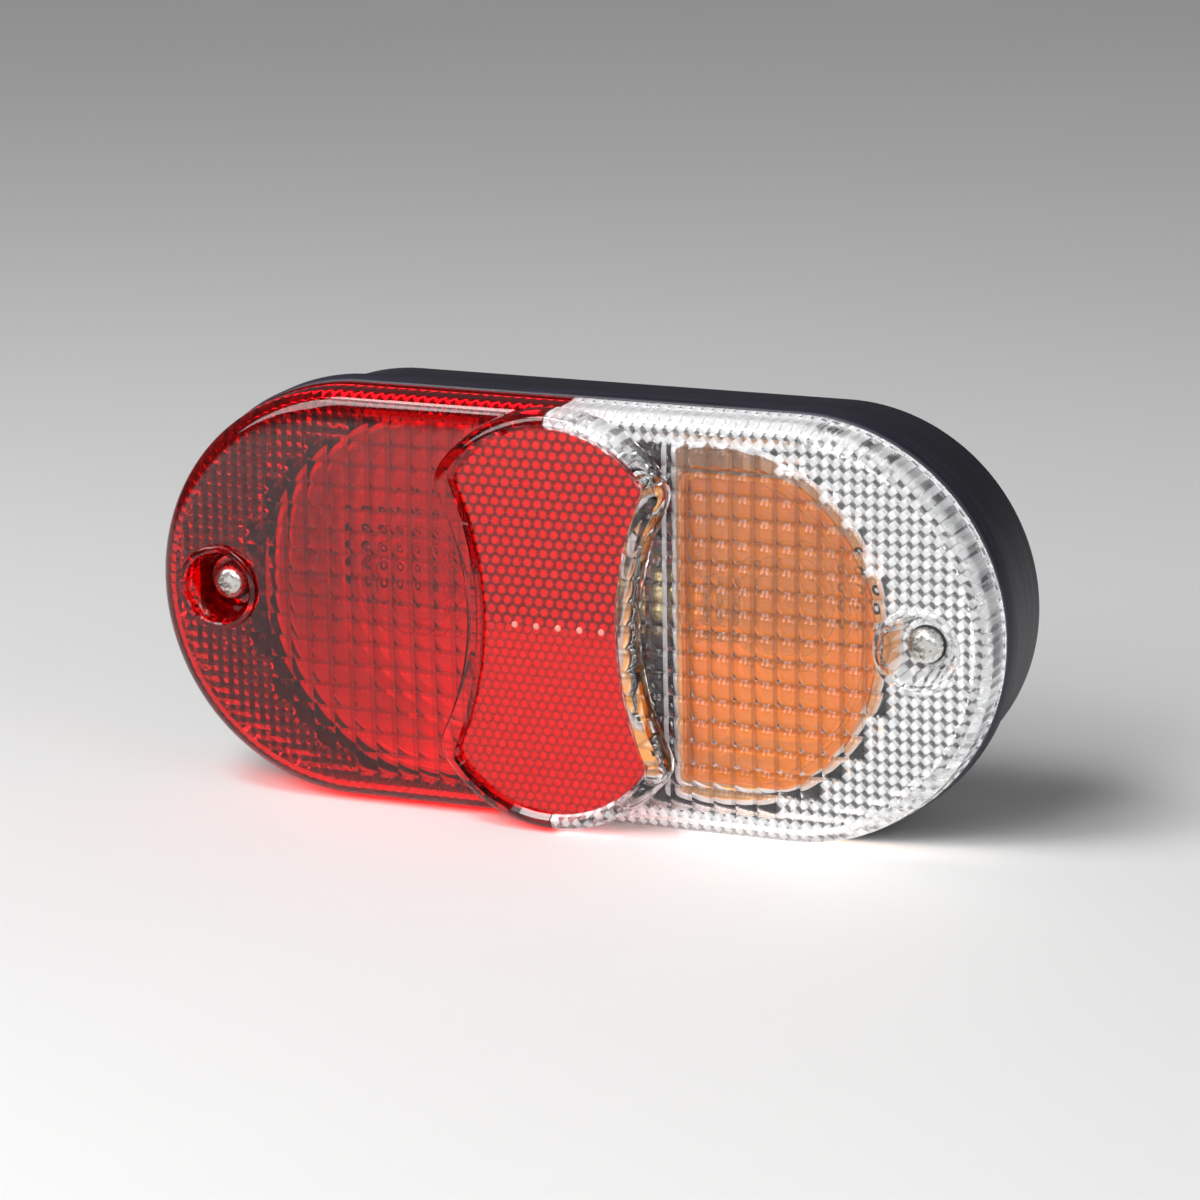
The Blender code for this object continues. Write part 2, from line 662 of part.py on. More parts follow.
def make_cap(name, sign):
    wall, end = CAP_WALL, CAP_START + CAP_LENGTH
    inner = CAP_RADIUS - wall
    cap = along_x(f"bulb_{name}_cap", "brass", sign,
                  [(inner, CAP_START), (CAP_RADIUS - 0.0003, CAP_START), (CAP_RADIUS, CAP_START + 0.0005),
                   (CAP_RADIUS, end - 0.002), (CAP_RADIUS - 0.0003, end), (inner, end)],
                  closed=True, steps=FINE_ROUND)
    for number, (angle, along) in enumerate(pin_positions(name)):
        side = math.cos(angle)
        pin = turned(f"add_pin_{name}_{number}", None,
                     [(PIN_RADIUS, 0.0), (PIN_RADIUS, PIN_REACH + 0.3 * wall)], (0, 0), steps=12)
        for vertex in pin.data.vertices:
            x, y, z = vertex.co
            vertex.co = (sign * along + x, AXIS_Y + z, side * (CAP_RADIUS - 0.3 * wall + y))
        if side < 0:
            pin.data.flip_normals()
        pin.data.flip_normals()
        join(cap, pin)


def make_bulb(name, sign):
    make_cap(name, sign)
    inner = CAP_RADIUS - CAP_WALL - GAP
    base_end = CAP_START + BASE_LENGTH
    along_x(f"bulb_{name}_base", "bulb_black", sign,
            [(0, BASE_START), (0.8 * inner, BASE_START), (inner, CAP_START + 0.0003), (inner, base_end),
             (0, base_end)])
    labels = ("button_tail", "button_stop") if name == "tail" else ("button_indicator",)
    for label, offset in zip(labels, contact_places(name)):
        end = CONTACT_START + CONTACT_HEIGHT
        profile = [(0, CONTACT_START), (0.7 * CONTACT_RADIUS, CONTACT_START),
                   (CONTACT_RADIUS, CONTACT_START + 0.5 * CONTACT_HEIGHT), (CONTACT_RADIUS, end), (0, end)]
        turned(label, "solder", [(r, sign * u) for r, u in profile], (AXIS_Y, offset), "X", steps=16)
    make_glass(name, sign, inner)
    make_filament_mount(name, sign, inner)


def make_glass(name, sign, neck):
    """Envelope, open at the neck inside the cap."""
    cap_end = CAP_START + CAP_LENGTH
    outer = [(neck, NECK_START), (neck, cap_end + 0.001)]
    start = math.acos(-0.8)
    outer.append((neck + 0.25 * (GLOBE_RADIUS - neck), (cap_end + GLOBE_CENTRE) / 2 - 0.0035))
    for i in range(9):
        angle = start * (1 - i / 8)
        outer.append((GLOBE_RADIUS * math.sin(angle), GLOBE_CENTRE + GLOBE_RADIUS * math.cos(angle)))
    outer[-1] = (0, GLOBE_CENTRE + GLOBE_RADIUS)
    inner = [(neck - GLASS_WALL, NECK_START), (neck - GLASS_WALL, cap_end + 0.001)]
    inner.append((outer[2][0] - GLASS_WALL, outer[2][1] + 0.2 * GLASS_WALL))
    small = GLOBE_RADIUS - GLASS_WALL
    for i in range(9):
        angle = start * (1 - i / 8)
        inner.append((small * math.sin(angle), GLOBE_CENTRE + small * math.cos(angle)))
    inner[-1] = (0, GLOBE_CENTRE + small)
    along_x(f"bulb_{name}_glass", "bulb_glass", sign, inner[::-1] + outer)


def make_filament_mount(name, sign, neck):
    """Pinched glass stem with two support wires and a coil across them."""
    stem = 0.6 * (neck - GLASS_WALL)
    start, end = NECK_START - 0.002, CAP_START + CAP_LENGTH + 0.002
    mount = along_x(f"bulb_{name}_mount", "bulb_glass", sign,
                    [(0, start), (stem, start), (stem, end - 0.002), (0.5 * stem, end), (0, end)], steps=16)
    wire, reach = 0.00035, 0.0032
    tip = GLOBE_CENTRE
    for number, z in enumerate((-reach, reach)):
        near, far = sorted((sign * (end - 0.003), sign * tip))
        join(mount, box(f"add_wire_{name}_{number}", None, (near, AXIS_Y - wire, z * 0.7 - wire),
                        (far, AXIS_Y + wire, z * 0.7 + wire)))
    near, far = sorted((sign * (tip - 0.0007), sign * (tip + 0.0003)))
    join(mount, box(f"add_coil_{name}", None, (near, AXIS_Y - 0.0006, -reach), (far, AXIS_Y + 0.0006, reach)))


# ---- lens

def lens_profile():
    """(inset, y) from the middle of the front round the back edge to the middle of the inside."""
    flat = 0.97 * HALF_HEIGHT
    edge_y = LENS_FRONT + CROWN
    outer = [(flat, LENS_FRONT), (0.45 * HALF_HEIGHT, LENS_FRONT + 0.25 * CROWN)]
    for i in range(6):
        angle = math.radians(80) * (1 - i / 5)
        outer.append((LENS_ROUND * (1 - math.cos(angle)), edge_y + LENS_ROUND * (1 - math.sin(angle))))
    outer += [(0.0, LENS_REAR - 0.0018), (-BEAD, LENS_REAR - 0.0014), (-BEAD, LENS_REAR)]
    inner = [(SKIN, LENS_REAR), (SKIN, edge_y + LENS_ROUND), (SKIN + 0.3 * LENS_ROUND, edge_y + SKIN + 0.001),
             (SKIN + 0.8 * LENS_ROUND, edge_y + SKIN), (0.45 * HALF_HEIGHT, LENS_FRONT + 0.25 * CROWN + SKIN),
             (flat, LENS_FRONT + SKIN)]
    return outer + inner


def make_lens_half(name, slot, side, sign):
    lens = loft(name, slot, [(lens_outline(i), y) for i, y in lens_profile()])
    inside = LENS_FRONT + SKIN
    frame = loft(f"add_frame_{side}", None,
                 [(hourglass(FRAME_CORNER_X, FRAME_APEX, FRAME_ARC, FRAME_WAIST), y)
                  for y in (inside - 0.0004, FRAME_FRONT)])
    opening = loft(f"cut_opening_{side}", None,
                   [(opening_outline(), y) for y in (inside + 0.012, FRAME_FRONT - 0.001)])
    seat = loft(f"cut_seat_{side}", None,
                [(opening_outline(SEAT_LIP), y) for y in (inside + 0.012, FRAME_FRONT + SEAT_DEPTH)])
    place = (sign * SCREW_X, 0)
    cup = turned(f"add_cup_{side}", None,
                 [(PILLAR_RADIUS, LENS_REAR), (PILLAR_RADIUS, WELL_SEAT_Y + 0.002),
                  (WELL_SEAT_RADIUS + 0.0018, WELL_SEAT_Y - 0.0006), (CUP_RADIUS, LENS_FRONT + 0.002),
                  (CUP_RADIUS, LENS_FRONT - CUP_RAISE + 0.0005),
                  (CUP_RADIUS - 0.0005, LENS_FRONT - CUP_RAISE)], place, steps=FINE_ROUND)
    well = turned(f"cut_well_{side}", None,
                  [(WELL_MOUTH_RADIUS + 0.0006, LENS_FRONT - CUP_RAISE - 0.001),
                   (WELL_MOUTH_RADIUS, LENS_FRONT - CUP_RAISE + 0.0006), (WELL_SEAT_RADIUS, WELL_SEAT_Y)],
                  place, steps=FINE_ROUND)
    clear = SHANK_RADIUS + BORE_PLAY
    bore = turned(f"cut_bore_{side}", None, [(clear, WELL_SEAT_Y - 0.002), (clear, LENS_REAR + 0.002)], place)
    half = sorted((sign * GAP / 2, sign * LENGTH))
    keep = box(f"keep_{side}", None, (half[0], FRAME_FRONT - 0.01, -HEIGHT), (half[1], 0.0, HEIGHT))
    cut(join(lens, frame, cup), opening, seat, well, bore)
    combine(lens, "INTERSECT", keep)


def make_reflector():
    outline = opening_outline(SEAT_LIP - GAP)
    front = FRAME_FRONT + SEAT_DEPTH + GAP
    back = front + REFLECTOR_THICK
    loft("reflex_reflector", "red_reflex", [(outline, front), (outline, back)])
    loft("reflector_backing", "grey_plastic", [(outline, back + GAP), (outline, back + GAP + BACKING_THICK)])


def make_amber_filter():
    """A tray open to the front, its rim standing on the inside of the lens."""
    rim = LENS_FRONT + CROWN + SKIN + GAP + 0.0002
    back = LENS_FRONT + SKIN + AMBER_BACK
    edge = TRAY_WALL + AMBER_EDGE
    outer = window_outline(AMBER_INNER_X, edge, AMBER_CUT)
    inner = window_outline(AMBER_INNER_X + AMBER_WALL, edge + AMBER_WALL, AMBER_CUT - AMBER_WALL)
    loft("amber_filter", "amber_plastic",
         [(outer, back), (outer, rim), (inner, rim), (inner, back - AMBER_WALL)])


def make_lens_screw(side, sign):
    place, top = (sign * SCREW_X, 0), HEAD_UNDER_Y - HEAD_HEIGHT
    bore, seat = SHANK_RADIUS + RUN, WELL_SEAT_Y - GAP
    turned(f"screw_washer_{side}", "black_rubber",
           ring_profile(bore, bore + WASHER_WIDTH, seat - WASHER_THICK, seat), place, closed=True)
    screw = turned(f"lens_screw_{side}", "stainless",
                   [(0, top), (0.5 * HEAD_RADIUS, top + 0.05 * HEAD_HEIGHT),
                    (0.84 * HEAD_RADIUS, top + 0.3 * HEAD_HEIGHT), (HEAD_RADIUS, top + 0.65 * HEAD_HEIGHT),
                    (HEAD_RADIUS, HEAD_UNDER_Y), (SHANK_RADIUS, HEAD_UNDER_Y),
                    (SHANK_RADIUS, SCREW_TIP_Y - 0.0008), (0.6 * SHANK_RADIUS, SCREW_TIP_Y),
                    (0, SCREW_TIP_Y)], place)
    long, wide = RECESS_LENGTH / 2, RECESS_WIDTH / 2
    cross = []
    for number, (x, z) in enumerate(((long, wide), (wide, long))):
        cross.append(box(f"cut_cross_{side}_{number}", None, (place[0] - x, top - 0.001, -z),
                         (place[0] + x, top + RECESS_DEPTH, z)))
    cut(screw, *cross)


def main():
    clear_scene()
    make_housing()
    make_pad()
    make_seal()
    make_lens_half("lens_red", "red_plastic", "left", -1)
    make_lens_half("lens_clear", "clear_plastic", "right", 1)
    make_reflector()
    make_amber_filter()
    flanged_bush("cable_grommet", INLET_BORE, GROMMET_WALL, GROMMET_FLANGE, GROMMET_FLANGE_THICK,
                 (0, INLET_Z))
    for side, sign in both_sides():
        flanged_bush(f"fixing_bush_{side}", FIXING_BORE, BUSH_WALL, BUSH_FLANGE, BUSH_FLANGE_THICK,
                     (sign * FIXING_X, 0))
        make_insert(side, sign)
        make_tray(side, sign)
        make_lens_screw(side, sign)
    make_bracket()
    bracket_top = BRACKET_Y - BRACKET_SHEET - GAP
    make_holder_rivet("bracket_rivet_upper", HOLDER_RIVET_Z, bracket_top)
    make_holder_rivet("bracket_rivet_lower", -HOLDER_RIVET_Z, bracket_top - TAB_SHEET - GAP)
    make_earth_tab()
    for name, sign in (("tail", -1), ("indicator", 1)):
        make_socket(name, sign)
        make_spring(name, sign)
        make_contact_disc(name, sign)
        make_bulb(name, sign)


if __name__ == "__main__":
    main()
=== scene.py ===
"""Looks of the trailer rear lamp: optics, plastics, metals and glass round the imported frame."""

import json
import math

import bmesh
import bpy
from bpy.props import FloatProperty, FloatVectorProperty, IntProperty, PointerProperty
from mathutils import Matrix, Vector
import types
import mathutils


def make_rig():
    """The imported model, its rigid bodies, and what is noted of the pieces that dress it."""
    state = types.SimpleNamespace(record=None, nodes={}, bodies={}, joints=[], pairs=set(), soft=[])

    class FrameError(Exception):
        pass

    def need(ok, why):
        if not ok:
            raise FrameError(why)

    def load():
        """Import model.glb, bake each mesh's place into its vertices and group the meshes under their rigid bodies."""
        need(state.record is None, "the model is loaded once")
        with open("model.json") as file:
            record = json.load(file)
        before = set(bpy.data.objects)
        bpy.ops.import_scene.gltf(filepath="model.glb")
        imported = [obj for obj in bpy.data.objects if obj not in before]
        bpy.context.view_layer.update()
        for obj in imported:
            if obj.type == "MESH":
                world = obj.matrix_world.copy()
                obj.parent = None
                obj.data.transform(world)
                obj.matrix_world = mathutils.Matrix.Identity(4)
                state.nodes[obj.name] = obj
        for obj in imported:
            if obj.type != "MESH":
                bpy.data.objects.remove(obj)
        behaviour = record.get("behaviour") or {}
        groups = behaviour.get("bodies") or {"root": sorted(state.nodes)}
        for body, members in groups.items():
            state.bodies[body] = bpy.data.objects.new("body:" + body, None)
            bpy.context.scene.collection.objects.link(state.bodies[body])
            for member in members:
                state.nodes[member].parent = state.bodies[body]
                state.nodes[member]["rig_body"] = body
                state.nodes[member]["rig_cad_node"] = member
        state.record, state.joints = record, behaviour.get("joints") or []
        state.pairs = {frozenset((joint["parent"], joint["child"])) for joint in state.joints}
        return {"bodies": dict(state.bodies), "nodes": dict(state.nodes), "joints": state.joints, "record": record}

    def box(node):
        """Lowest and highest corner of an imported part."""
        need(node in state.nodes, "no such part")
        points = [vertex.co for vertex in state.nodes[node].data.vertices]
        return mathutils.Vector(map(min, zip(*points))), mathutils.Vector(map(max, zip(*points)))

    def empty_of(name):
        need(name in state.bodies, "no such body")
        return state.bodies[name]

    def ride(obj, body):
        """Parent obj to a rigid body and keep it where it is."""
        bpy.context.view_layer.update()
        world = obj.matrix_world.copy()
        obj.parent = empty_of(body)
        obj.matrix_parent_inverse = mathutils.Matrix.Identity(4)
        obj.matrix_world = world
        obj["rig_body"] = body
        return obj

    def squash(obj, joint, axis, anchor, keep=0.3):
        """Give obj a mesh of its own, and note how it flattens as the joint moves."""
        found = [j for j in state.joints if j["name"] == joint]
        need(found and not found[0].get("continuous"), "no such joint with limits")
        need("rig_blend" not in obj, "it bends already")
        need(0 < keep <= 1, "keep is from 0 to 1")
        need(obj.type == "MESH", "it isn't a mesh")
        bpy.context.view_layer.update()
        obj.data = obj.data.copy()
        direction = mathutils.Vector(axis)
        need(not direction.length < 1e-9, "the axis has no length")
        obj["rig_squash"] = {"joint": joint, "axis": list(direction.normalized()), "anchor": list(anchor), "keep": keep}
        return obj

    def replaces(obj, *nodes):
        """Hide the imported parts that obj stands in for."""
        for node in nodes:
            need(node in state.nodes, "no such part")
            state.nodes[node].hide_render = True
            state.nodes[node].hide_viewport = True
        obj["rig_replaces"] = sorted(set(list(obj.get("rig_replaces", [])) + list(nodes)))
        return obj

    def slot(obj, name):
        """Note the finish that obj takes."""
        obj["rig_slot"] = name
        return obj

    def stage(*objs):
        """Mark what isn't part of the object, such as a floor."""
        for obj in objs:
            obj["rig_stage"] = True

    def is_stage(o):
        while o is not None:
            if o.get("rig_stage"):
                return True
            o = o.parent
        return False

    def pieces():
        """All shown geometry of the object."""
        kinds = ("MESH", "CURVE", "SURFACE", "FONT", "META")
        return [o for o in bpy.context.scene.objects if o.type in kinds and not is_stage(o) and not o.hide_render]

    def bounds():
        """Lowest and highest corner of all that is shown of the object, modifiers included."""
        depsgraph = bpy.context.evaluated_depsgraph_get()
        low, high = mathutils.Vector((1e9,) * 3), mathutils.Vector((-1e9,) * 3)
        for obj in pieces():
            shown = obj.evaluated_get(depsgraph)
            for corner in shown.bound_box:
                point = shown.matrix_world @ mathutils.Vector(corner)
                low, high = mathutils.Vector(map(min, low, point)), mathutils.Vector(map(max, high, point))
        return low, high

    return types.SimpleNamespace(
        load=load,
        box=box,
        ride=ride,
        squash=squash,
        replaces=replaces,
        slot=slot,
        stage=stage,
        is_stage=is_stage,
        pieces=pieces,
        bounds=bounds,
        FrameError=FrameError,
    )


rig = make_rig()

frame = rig.load()
CAD_BOX = [list(corner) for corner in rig.bounds()]

bl_info = {
    "name": "Trailer Rear Lamp",
    "version": (1, 0, 0),
    "blender": (4, 5, 0),
    "location": "3D View > Sidebar > Rear Lamp",
    "description": "Builds a two-bulb trailer rear lamp with moulded lens optics",
    "category": "Object",
}

# ---- places read from the frame
LENS_LOW, LENS_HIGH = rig.box("lens_clear")
HOUSING_LOW, HOUSING_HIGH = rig.box("housing")
GAP = 0.0003
BEAD = 0.0004
HALF_LENGTH = LENS_HIGH.x - BEAD
HALF_HEIGHT = LENS_HIGH.z - 0.0005
LENS_REAR = LENS_HIGH.y
FRAME_FRONT = LENS_LOW.y
LENS_FRONT = FRAME_FRONT + 0.006
RIM_Y = HOUSING_LOW.y
REAR_Y = HOUSING_HIGH.y
FLOOR_Y = REAR_Y - 0.003
SCREW_X = sum(c.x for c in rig.box("lens_screw_right")) / 2
AXIS_Y = sum(c.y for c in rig.box("socket_tail")) / 2
SCREW_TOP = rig.box("lens_screw_right")[0].y
SCREW_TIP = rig.box("lens_screw_right")[1].y
SKIN = 0.0025
LENS_ROUND = 0.0045
CROWN = 0.0012
WELL_SEAT = LENS_FRONT + 0.0084
SHANK = 0.0018
HOUSING_GROW = 0.0009
FIXING_X = 0.062
FIXING_HOLE = 0.0048
INLET_Z = -0.031
INLET_HOLE = 0.0057
RIVET_Z = 0.0115
RIVET_HOLE = 0.0017
SIDES = (("left", -1), ("right", 1))
LAMPS = (("tail", -1), ("indicator", 1))


# ---- settings

def size(label, text, default, low=0.0, high=0.3):
    return FloatProperty(name=label, description=text, default=default, min=low, max=high,
                         precision=5, subtype="DISTANCE", unit="LENGTH")


def share(label, text, default, low=0.0, high=1.0):
    return FloatProperty(name=label, description=text, default=default, min=low, max=high,
                         subtype="FACTOR")


def colour(label, text, default):
    return FloatVectorProperty(name=label, description=text, default=default, min=0.0, max=1.0,
                               size=3, subtype="COLOR")


class LampLensSettings(bpy.types.PropertyGroup):
    """Sizes and colours of the two-colour lens."""
    stud_pitch: size("Stud pitch", "Distance between border studs", 0.00267, 0.001, 0.01)
    stud_depth: size("Stud depth", "How far a stud stands in from the lens", 0.0011, 0.0, 0.002)
    pillow_depth: size("Pillow depth", "How far a pillow's edges stand in", 0.0011, 0.0, 0.002)
    # Painted shade: how light the lines between the pillows are painted, in place of the darkening that their ridges'
    # refraction gives.
    painted_line_shade: share("Line shade", "How light the lines between pillows are", 0.55)
    tooth_depth: size("Tooth depth", "Depth of the flutes inside the skirt", 0.0002, 0.0, 0.001)
    window_radius: size("Window radius", "Radius of each pillow window", 0.0455, 0.02, 0.06)
    window_centre: size("Window centre", "Window centre from the middle", 0.036, 0.02, 0.06)
    red: colour("Red", "Tint of the red half", (0.84, 0.003, 0.008))
    clear: colour("Clear", "Tint of the clear half", (0.97, 0.975, 0.98))
    amber: colour("Amber", "Tint of the indicator's filter", (0.90, 0.33, 0.0))
    gloss: share("Roughness", "Roughness of the outer polish", 0.03)


class LampReflectorSettings(bpy.types.PropertyGroup):
    """Sizes and colours of the reflex reflector."""
    prism_pitch: size("Prism pitch", "Edge of a prism's triangle in the upper field", 0.00266, 0.001, 0.01)
    fine_pitch: size("Fine pitch", "Edge of a prism's triangle in the lower field", 0.0023, 0.001, 0.01)
    division: FloatProperty(name="Division", description="Height of the line between the two fields",
                            default=-0.0011, subtype="DISTANCE", unit="LENGTH")
    dot_pitch: size("Dot pitch", "Distance between the dots on the division", 0.0054, 0.001, 0.02)
    red: colour("Red", "Tint of the reflector", (0.88, 0.012, 0.008))


class LampHousingSettings(bpy.types.PropertyGroup):
    """Colours of the housing and the metalwork in it."""
    black: colour("Black", "Moulded housing", (0.0125, 0.0115, 0.0185))
    silver: colour("Silver", "Metallised trays", (0.82, 0.82, 0.83))
    arc_steps: IntProperty(name="Arc steps", description="Segments in each round end", default=72,
                           min=24, max=256)


class LampStageSettings(bpy.types.PropertyGroup):
    """Floor and lights."""
    floor: colour("Floor", "Floor colour", (0.78, 0.78, 0.775))
    sky: colour("Surround", "Light from all round", (0.8, 0.82, 0.85))
    sky_strength: FloatProperty(name="Surround strength", description="Strength of the light all round",
                                default=0.1, min=0.0, max=5.0)
    overhead: FloatProperty(name="Overhead", description="Strength of the even light from above",
                            default=0.8, min=0.0, max=10.0)
    key_power: FloatProperty(name="Key power", description="Power of the key softbox", default=4.2,
                             min=0.0, max=500.0, subtype="POWER", unit="POWER")


def settings(name):
    return getattr(bpy.context.scene, "lamp_" + name)


# ---- node trees

class Shader:
    """A material's node tree while it is wired."""

    def __init__(self, name, base, roughness, metallic=0.0):
        self.mat = bpy.data.materials.new(name)
        self.mat.use_nodes = True
        self.tree = self.mat.node_tree
        self.body = self.tree.nodes["Principled BSDF"]
        self.out = self.tree.nodes["Material Output"]
        self.set(**{"Base Color": (*base, 1.0), "Roughness": roughness, "Metallic": metallic})
        self.mat.diffuse_color = (*base, 1.0)
        self.coords = self.add("ShaderNodeTexCoord")

    def set(self, **values):
        for label, value in values.items():
            self.body.inputs[label].default_value = value
        return self

    def add(self, kind, **fields):
        node = self.tree.nodes.new(kind)
        for label, value in fields.items():
            setattr(node, label, value)
        return node

    def link(self, source, target):
        self.tree.links.new(source, target)

    def noise(self, stretch, detail=3.0, rough=0.55, scale=1.0):
        """Noise on the piece's own coordinates, in cycles per metre along each axis."""
        mapping = self.add("ShaderNodeMapping")
        mapping.inputs["Scale"].default_value = stretch
        self.link(self.coords.outputs["Object"], mapping.inputs["Vector"])
        noise = self.add("ShaderNodeTexNoise")
        noise.inputs["Scale"].default_value = scale
        noise.inputs["Detail"].default_value = detail
        noise.inputs["Roughness"].default_value = rough
        self.link(mapping.outputs["Vector"], noise.inputs["Vector"])
        return noise.outputs["Fac"]

    def maths(self, operation, first, second=0.0):
        node = self.add("ShaderNodeMath", operation=operation)
        for value, socket in zip((first, second), node.inputs):
            if isinstance(value, bpy.types.NodeSocket):
                self.link(value, socket)
            else:
                socket.default_value = value
        return node.outputs[0]

    def spread(self, source, low, high, start=0.3, end=0.7):
        ramp = self.add("ShaderNodeMapRange")
        ramp.inputs["From Min"].default_value = start
        ramp.inputs["From Max"].default_value = end
        ramp.inputs["To Min"].default_value = low
        ramp.inputs["To Max"].default_value = high
        self.link(source, ramp.inputs["Value"])
        return ramp.outputs["Result"]

    def blend(self, factor, first, second):
        mix = self.add("ShaderNodeMix", data_type="RGBA")
        sockets = {s.identifier: s for s in mix.inputs}
        sockets["A_Color"].default_value = (*first, 1.0)
        sockets["B_Color"].default_value = (*second, 1.0)
        self.link(factor, sockets["Factor_Float"])
        return next(s for s in mix.outputs if s.identifier == "Result_Color")

    def base(self, source):
        self.link(source, self.body.inputs["Base Color"])

    def rough(self, source, low, high, start=0.3, end=0.7):
        self.link(self.spread(source, low, high, start, end), self.body.inputs["Roughness"])

    def bump(self, source, distance, strength=1.0):
        bump = self.add("ShaderNodeBump")
        bump.inputs["Distance"].default_value = distance
        bump.inputs["Strength"].default_value = strength
        self.link(source, bump.inputs["Height"])
        previous = self.body.inputs["Normal"].links
        if previous:
            self.link(previous[0].from_socket, bump.inputs["Normal"])
        self.link(bump.outputs["Normal"], self.body.inputs["Normal"])

    def lets_lamps_through(self, tint):
        """Rays from the lamps pass straight through the plastic, tinted."""
        path = self.add("ShaderNodeLightPath")
        clear = self.add("ShaderNodeBsdfTransparent")
        clear.inputs["Color"].default_value = (*tint, 1.0)
        mix = self.add("ShaderNodeMixShader")
        self.link(path.outputs["Is Shadow Ray"], mix.inputs[0])
        self.link(self.body.outputs["BSDF"], mix.inputs[1])
        self.link(clear.outputs["BSDF"], mix.inputs[2])
        self.link(mix.outputs["Shader"], self.out.inputs["Surface"])


def paint_stud_sheen_and_line_shade(shade, tint, frost_and_sheen):
    """Whitens the stud ribs round the windows, partly as frosting and partly as a painted sheen for their reflections
    of the lamps, and paints shade on the lines between the pillows in them.
    """
    lens = settings("lens")
    split = shade.add("ShaderNodeSeparateXYZ")
    shade.link(shade.coords.outputs["Object"], split.inputs[0])
    cell = 2 * lens.stud_pitch
    studs, arms, centres = [], [], []
    for axis in ("X", "Z"):
        place_in = split.outputs[axis]
        for pitch, waves in ((lens.stud_pitch, studs), (cell, arms)):
            turn = shade.maths("FRACT", shade.maths("DIVIDE", place_in, pitch))
            arm = shade.maths("SUBTRACT", shade.maths("MULTIPLY", turn, 2.0), 1.0)
            waves.append(shade.maths("ABSOLUTE", arm))
        whole = shade.maths("MULTIPLY", shade.maths("FLOOR", shade.maths("DIVIDE", place_in, cell)), cell)
        centres.append(shade.maths("ADD", whole, 0.5 * cell))
    across = shade.maths("SUBTRACT", shade.maths("ABSOLUTE", centres[0]), lens.window_centre)
    square = shade.maths("MULTIPLY", centres[1], centres[1])
    reach = shade.maths("SQRT", shade.maths("ADD", shade.maths("MULTIPLY", across, across), square))
    limit = lens.window_radius - 0.35 * cell
    outside = shade.maths("GREATER_THAN", reach, limit)
    # Painted sheen: the stud ribs are whitened in bars, partly frosting and partly standing in for their reflections of
    # the lamps.
    frost_and_sheen_bars = shade.spread(shade.maths("ADD", *studs), frost_and_sheen, 0.1 * frost_and_sheen, 0.75, 1.15)
    shade.link(shade.maths("SUBTRACT", 1.0, shade.maths("MULTIPLY", outside, frost_and_sheen_bars)),
               shade.body.inputs["Transmission Weight"])
    # Painted shade on the ridge lines between the pillows, standing in for the dark lines that their refraction makes.
    line = shade.spread(shade.maths("MAXIMUM", *arms), 0.0, 1.0, 0.80, 0.93)
    inside = shade.maths("SUBTRACT", 1.0, outside)
    shade.base(shade.blend(shade.maths("MULTIPLY", line, inside), tint, [c * lens.painted_line_shade for c in tint]))


def paint_reflex_cell_shade(shade, tint):
    """Paints shade on the edges of the round cells that the prisms show, finer below the division, in place of the dark
    outlines that the prisms' reflection gives.
    """
    reflector = settings("reflector")
    split = shade.add("ShaderNodeSeparateXYZ")
    shade.link(shade.coords.outputs["Object"], split.inputs[0])
    upper = shade.maths("GREATER_THAN", split.outputs["Z"], reflector.division)
    edges = []
    for pitch in (reflector.prism_pitch, reflector.fine_pitch):
        reaches = []
        for shift in (0.0, 0.5):
            squares = []
            for axis, step in (("X", pitch), ("Z", pitch * math.sqrt(3))):
                cells_in = shade.maths("ADD", shade.maths("DIVIDE", split.outputs[axis], step), shift)
                arm = shade.maths("SUBTRACT", shade.maths("FRACT", cells_in), 0.5)
                arm = shade.maths("MULTIPLY", arm, step / pitch)
                squares.append(shade.maths("MULTIPLY", arm, arm))
            reaches.append(shade.maths("SQRT", shade.maths("ADD", *squares)))
        edges.append(shade.spread(shade.maths("MINIMUM", *reaches), 0.0, 1.0, 0.30, 0.44))
    above = shade.maths("MULTIPLY", edges[0], upper)
    below = shade.maths("MULTIPLY", edges[1], shade.maths("SUBTRACT", 0.6, upper))
    line = shade.maths("ADD", above, shade.maths("MAXIMUM", below, 0.0))
    # Painted shade: the cell edges are darkened to stand in for the prisms' dark outlines.
    shade.base(shade.blend(line, tint, [c * 0.28 for c in tint]))


def clear_plastic(name, tint, roughness, ior=1.5, wave=0.00003, frost_and_sheen=0.0, milky=0.0, cells=False):
    """Moulded see-through plastic with a faint flow pattern. The whitening argument whitens the studs round the
    windows, partly as frosting and partly as a painted sheen for their reflections of the lamps.
    """
    shade = Shader(name, tint, roughness)
    shade.set(**{"Transmission Weight": 1.0 - milky, "IOR": ior})
    if frost_and_sheen:
        paint_stud_sheen_and_line_shade(shade, tint, frost_and_sheen)
    if cells:
        paint_reflex_cell_shade(shade, tint)
    shade.bump(shade.noise((140, 140, 90), 1.0), wave, 0.35)
    shade.rough(shade.noise((900, 900, 900), 2.0), roughness, roughness + 0.05, 0.45, 0.75)
    shade.lets_lamps_through([math.sqrt(c) for c in tint])
    return shade.mat


def housing_black():
    tint = settings("housing").black
    shade = Shader("moulded black", tint, 0.46)
    streak = shade.noise((22, 1000, 22), 5.0, 0.7)
    grain = shade.noise((4200, 4200, 4200), 2.0)
    shade.base(shade.blend(shade.spread(streak, 0.0, 1.0, 0.42, 0.66), tint,
                           (tint[0] * 2.8, tint[1] * 2.6, tint[2] * 2.8)))
    shade.rough(streak, 0.36, 0.58)
    shade.bump(streak, 0.00012, 0.6)
    shade.bump(grain, 0.00004, 0.5)
    return shade.mat


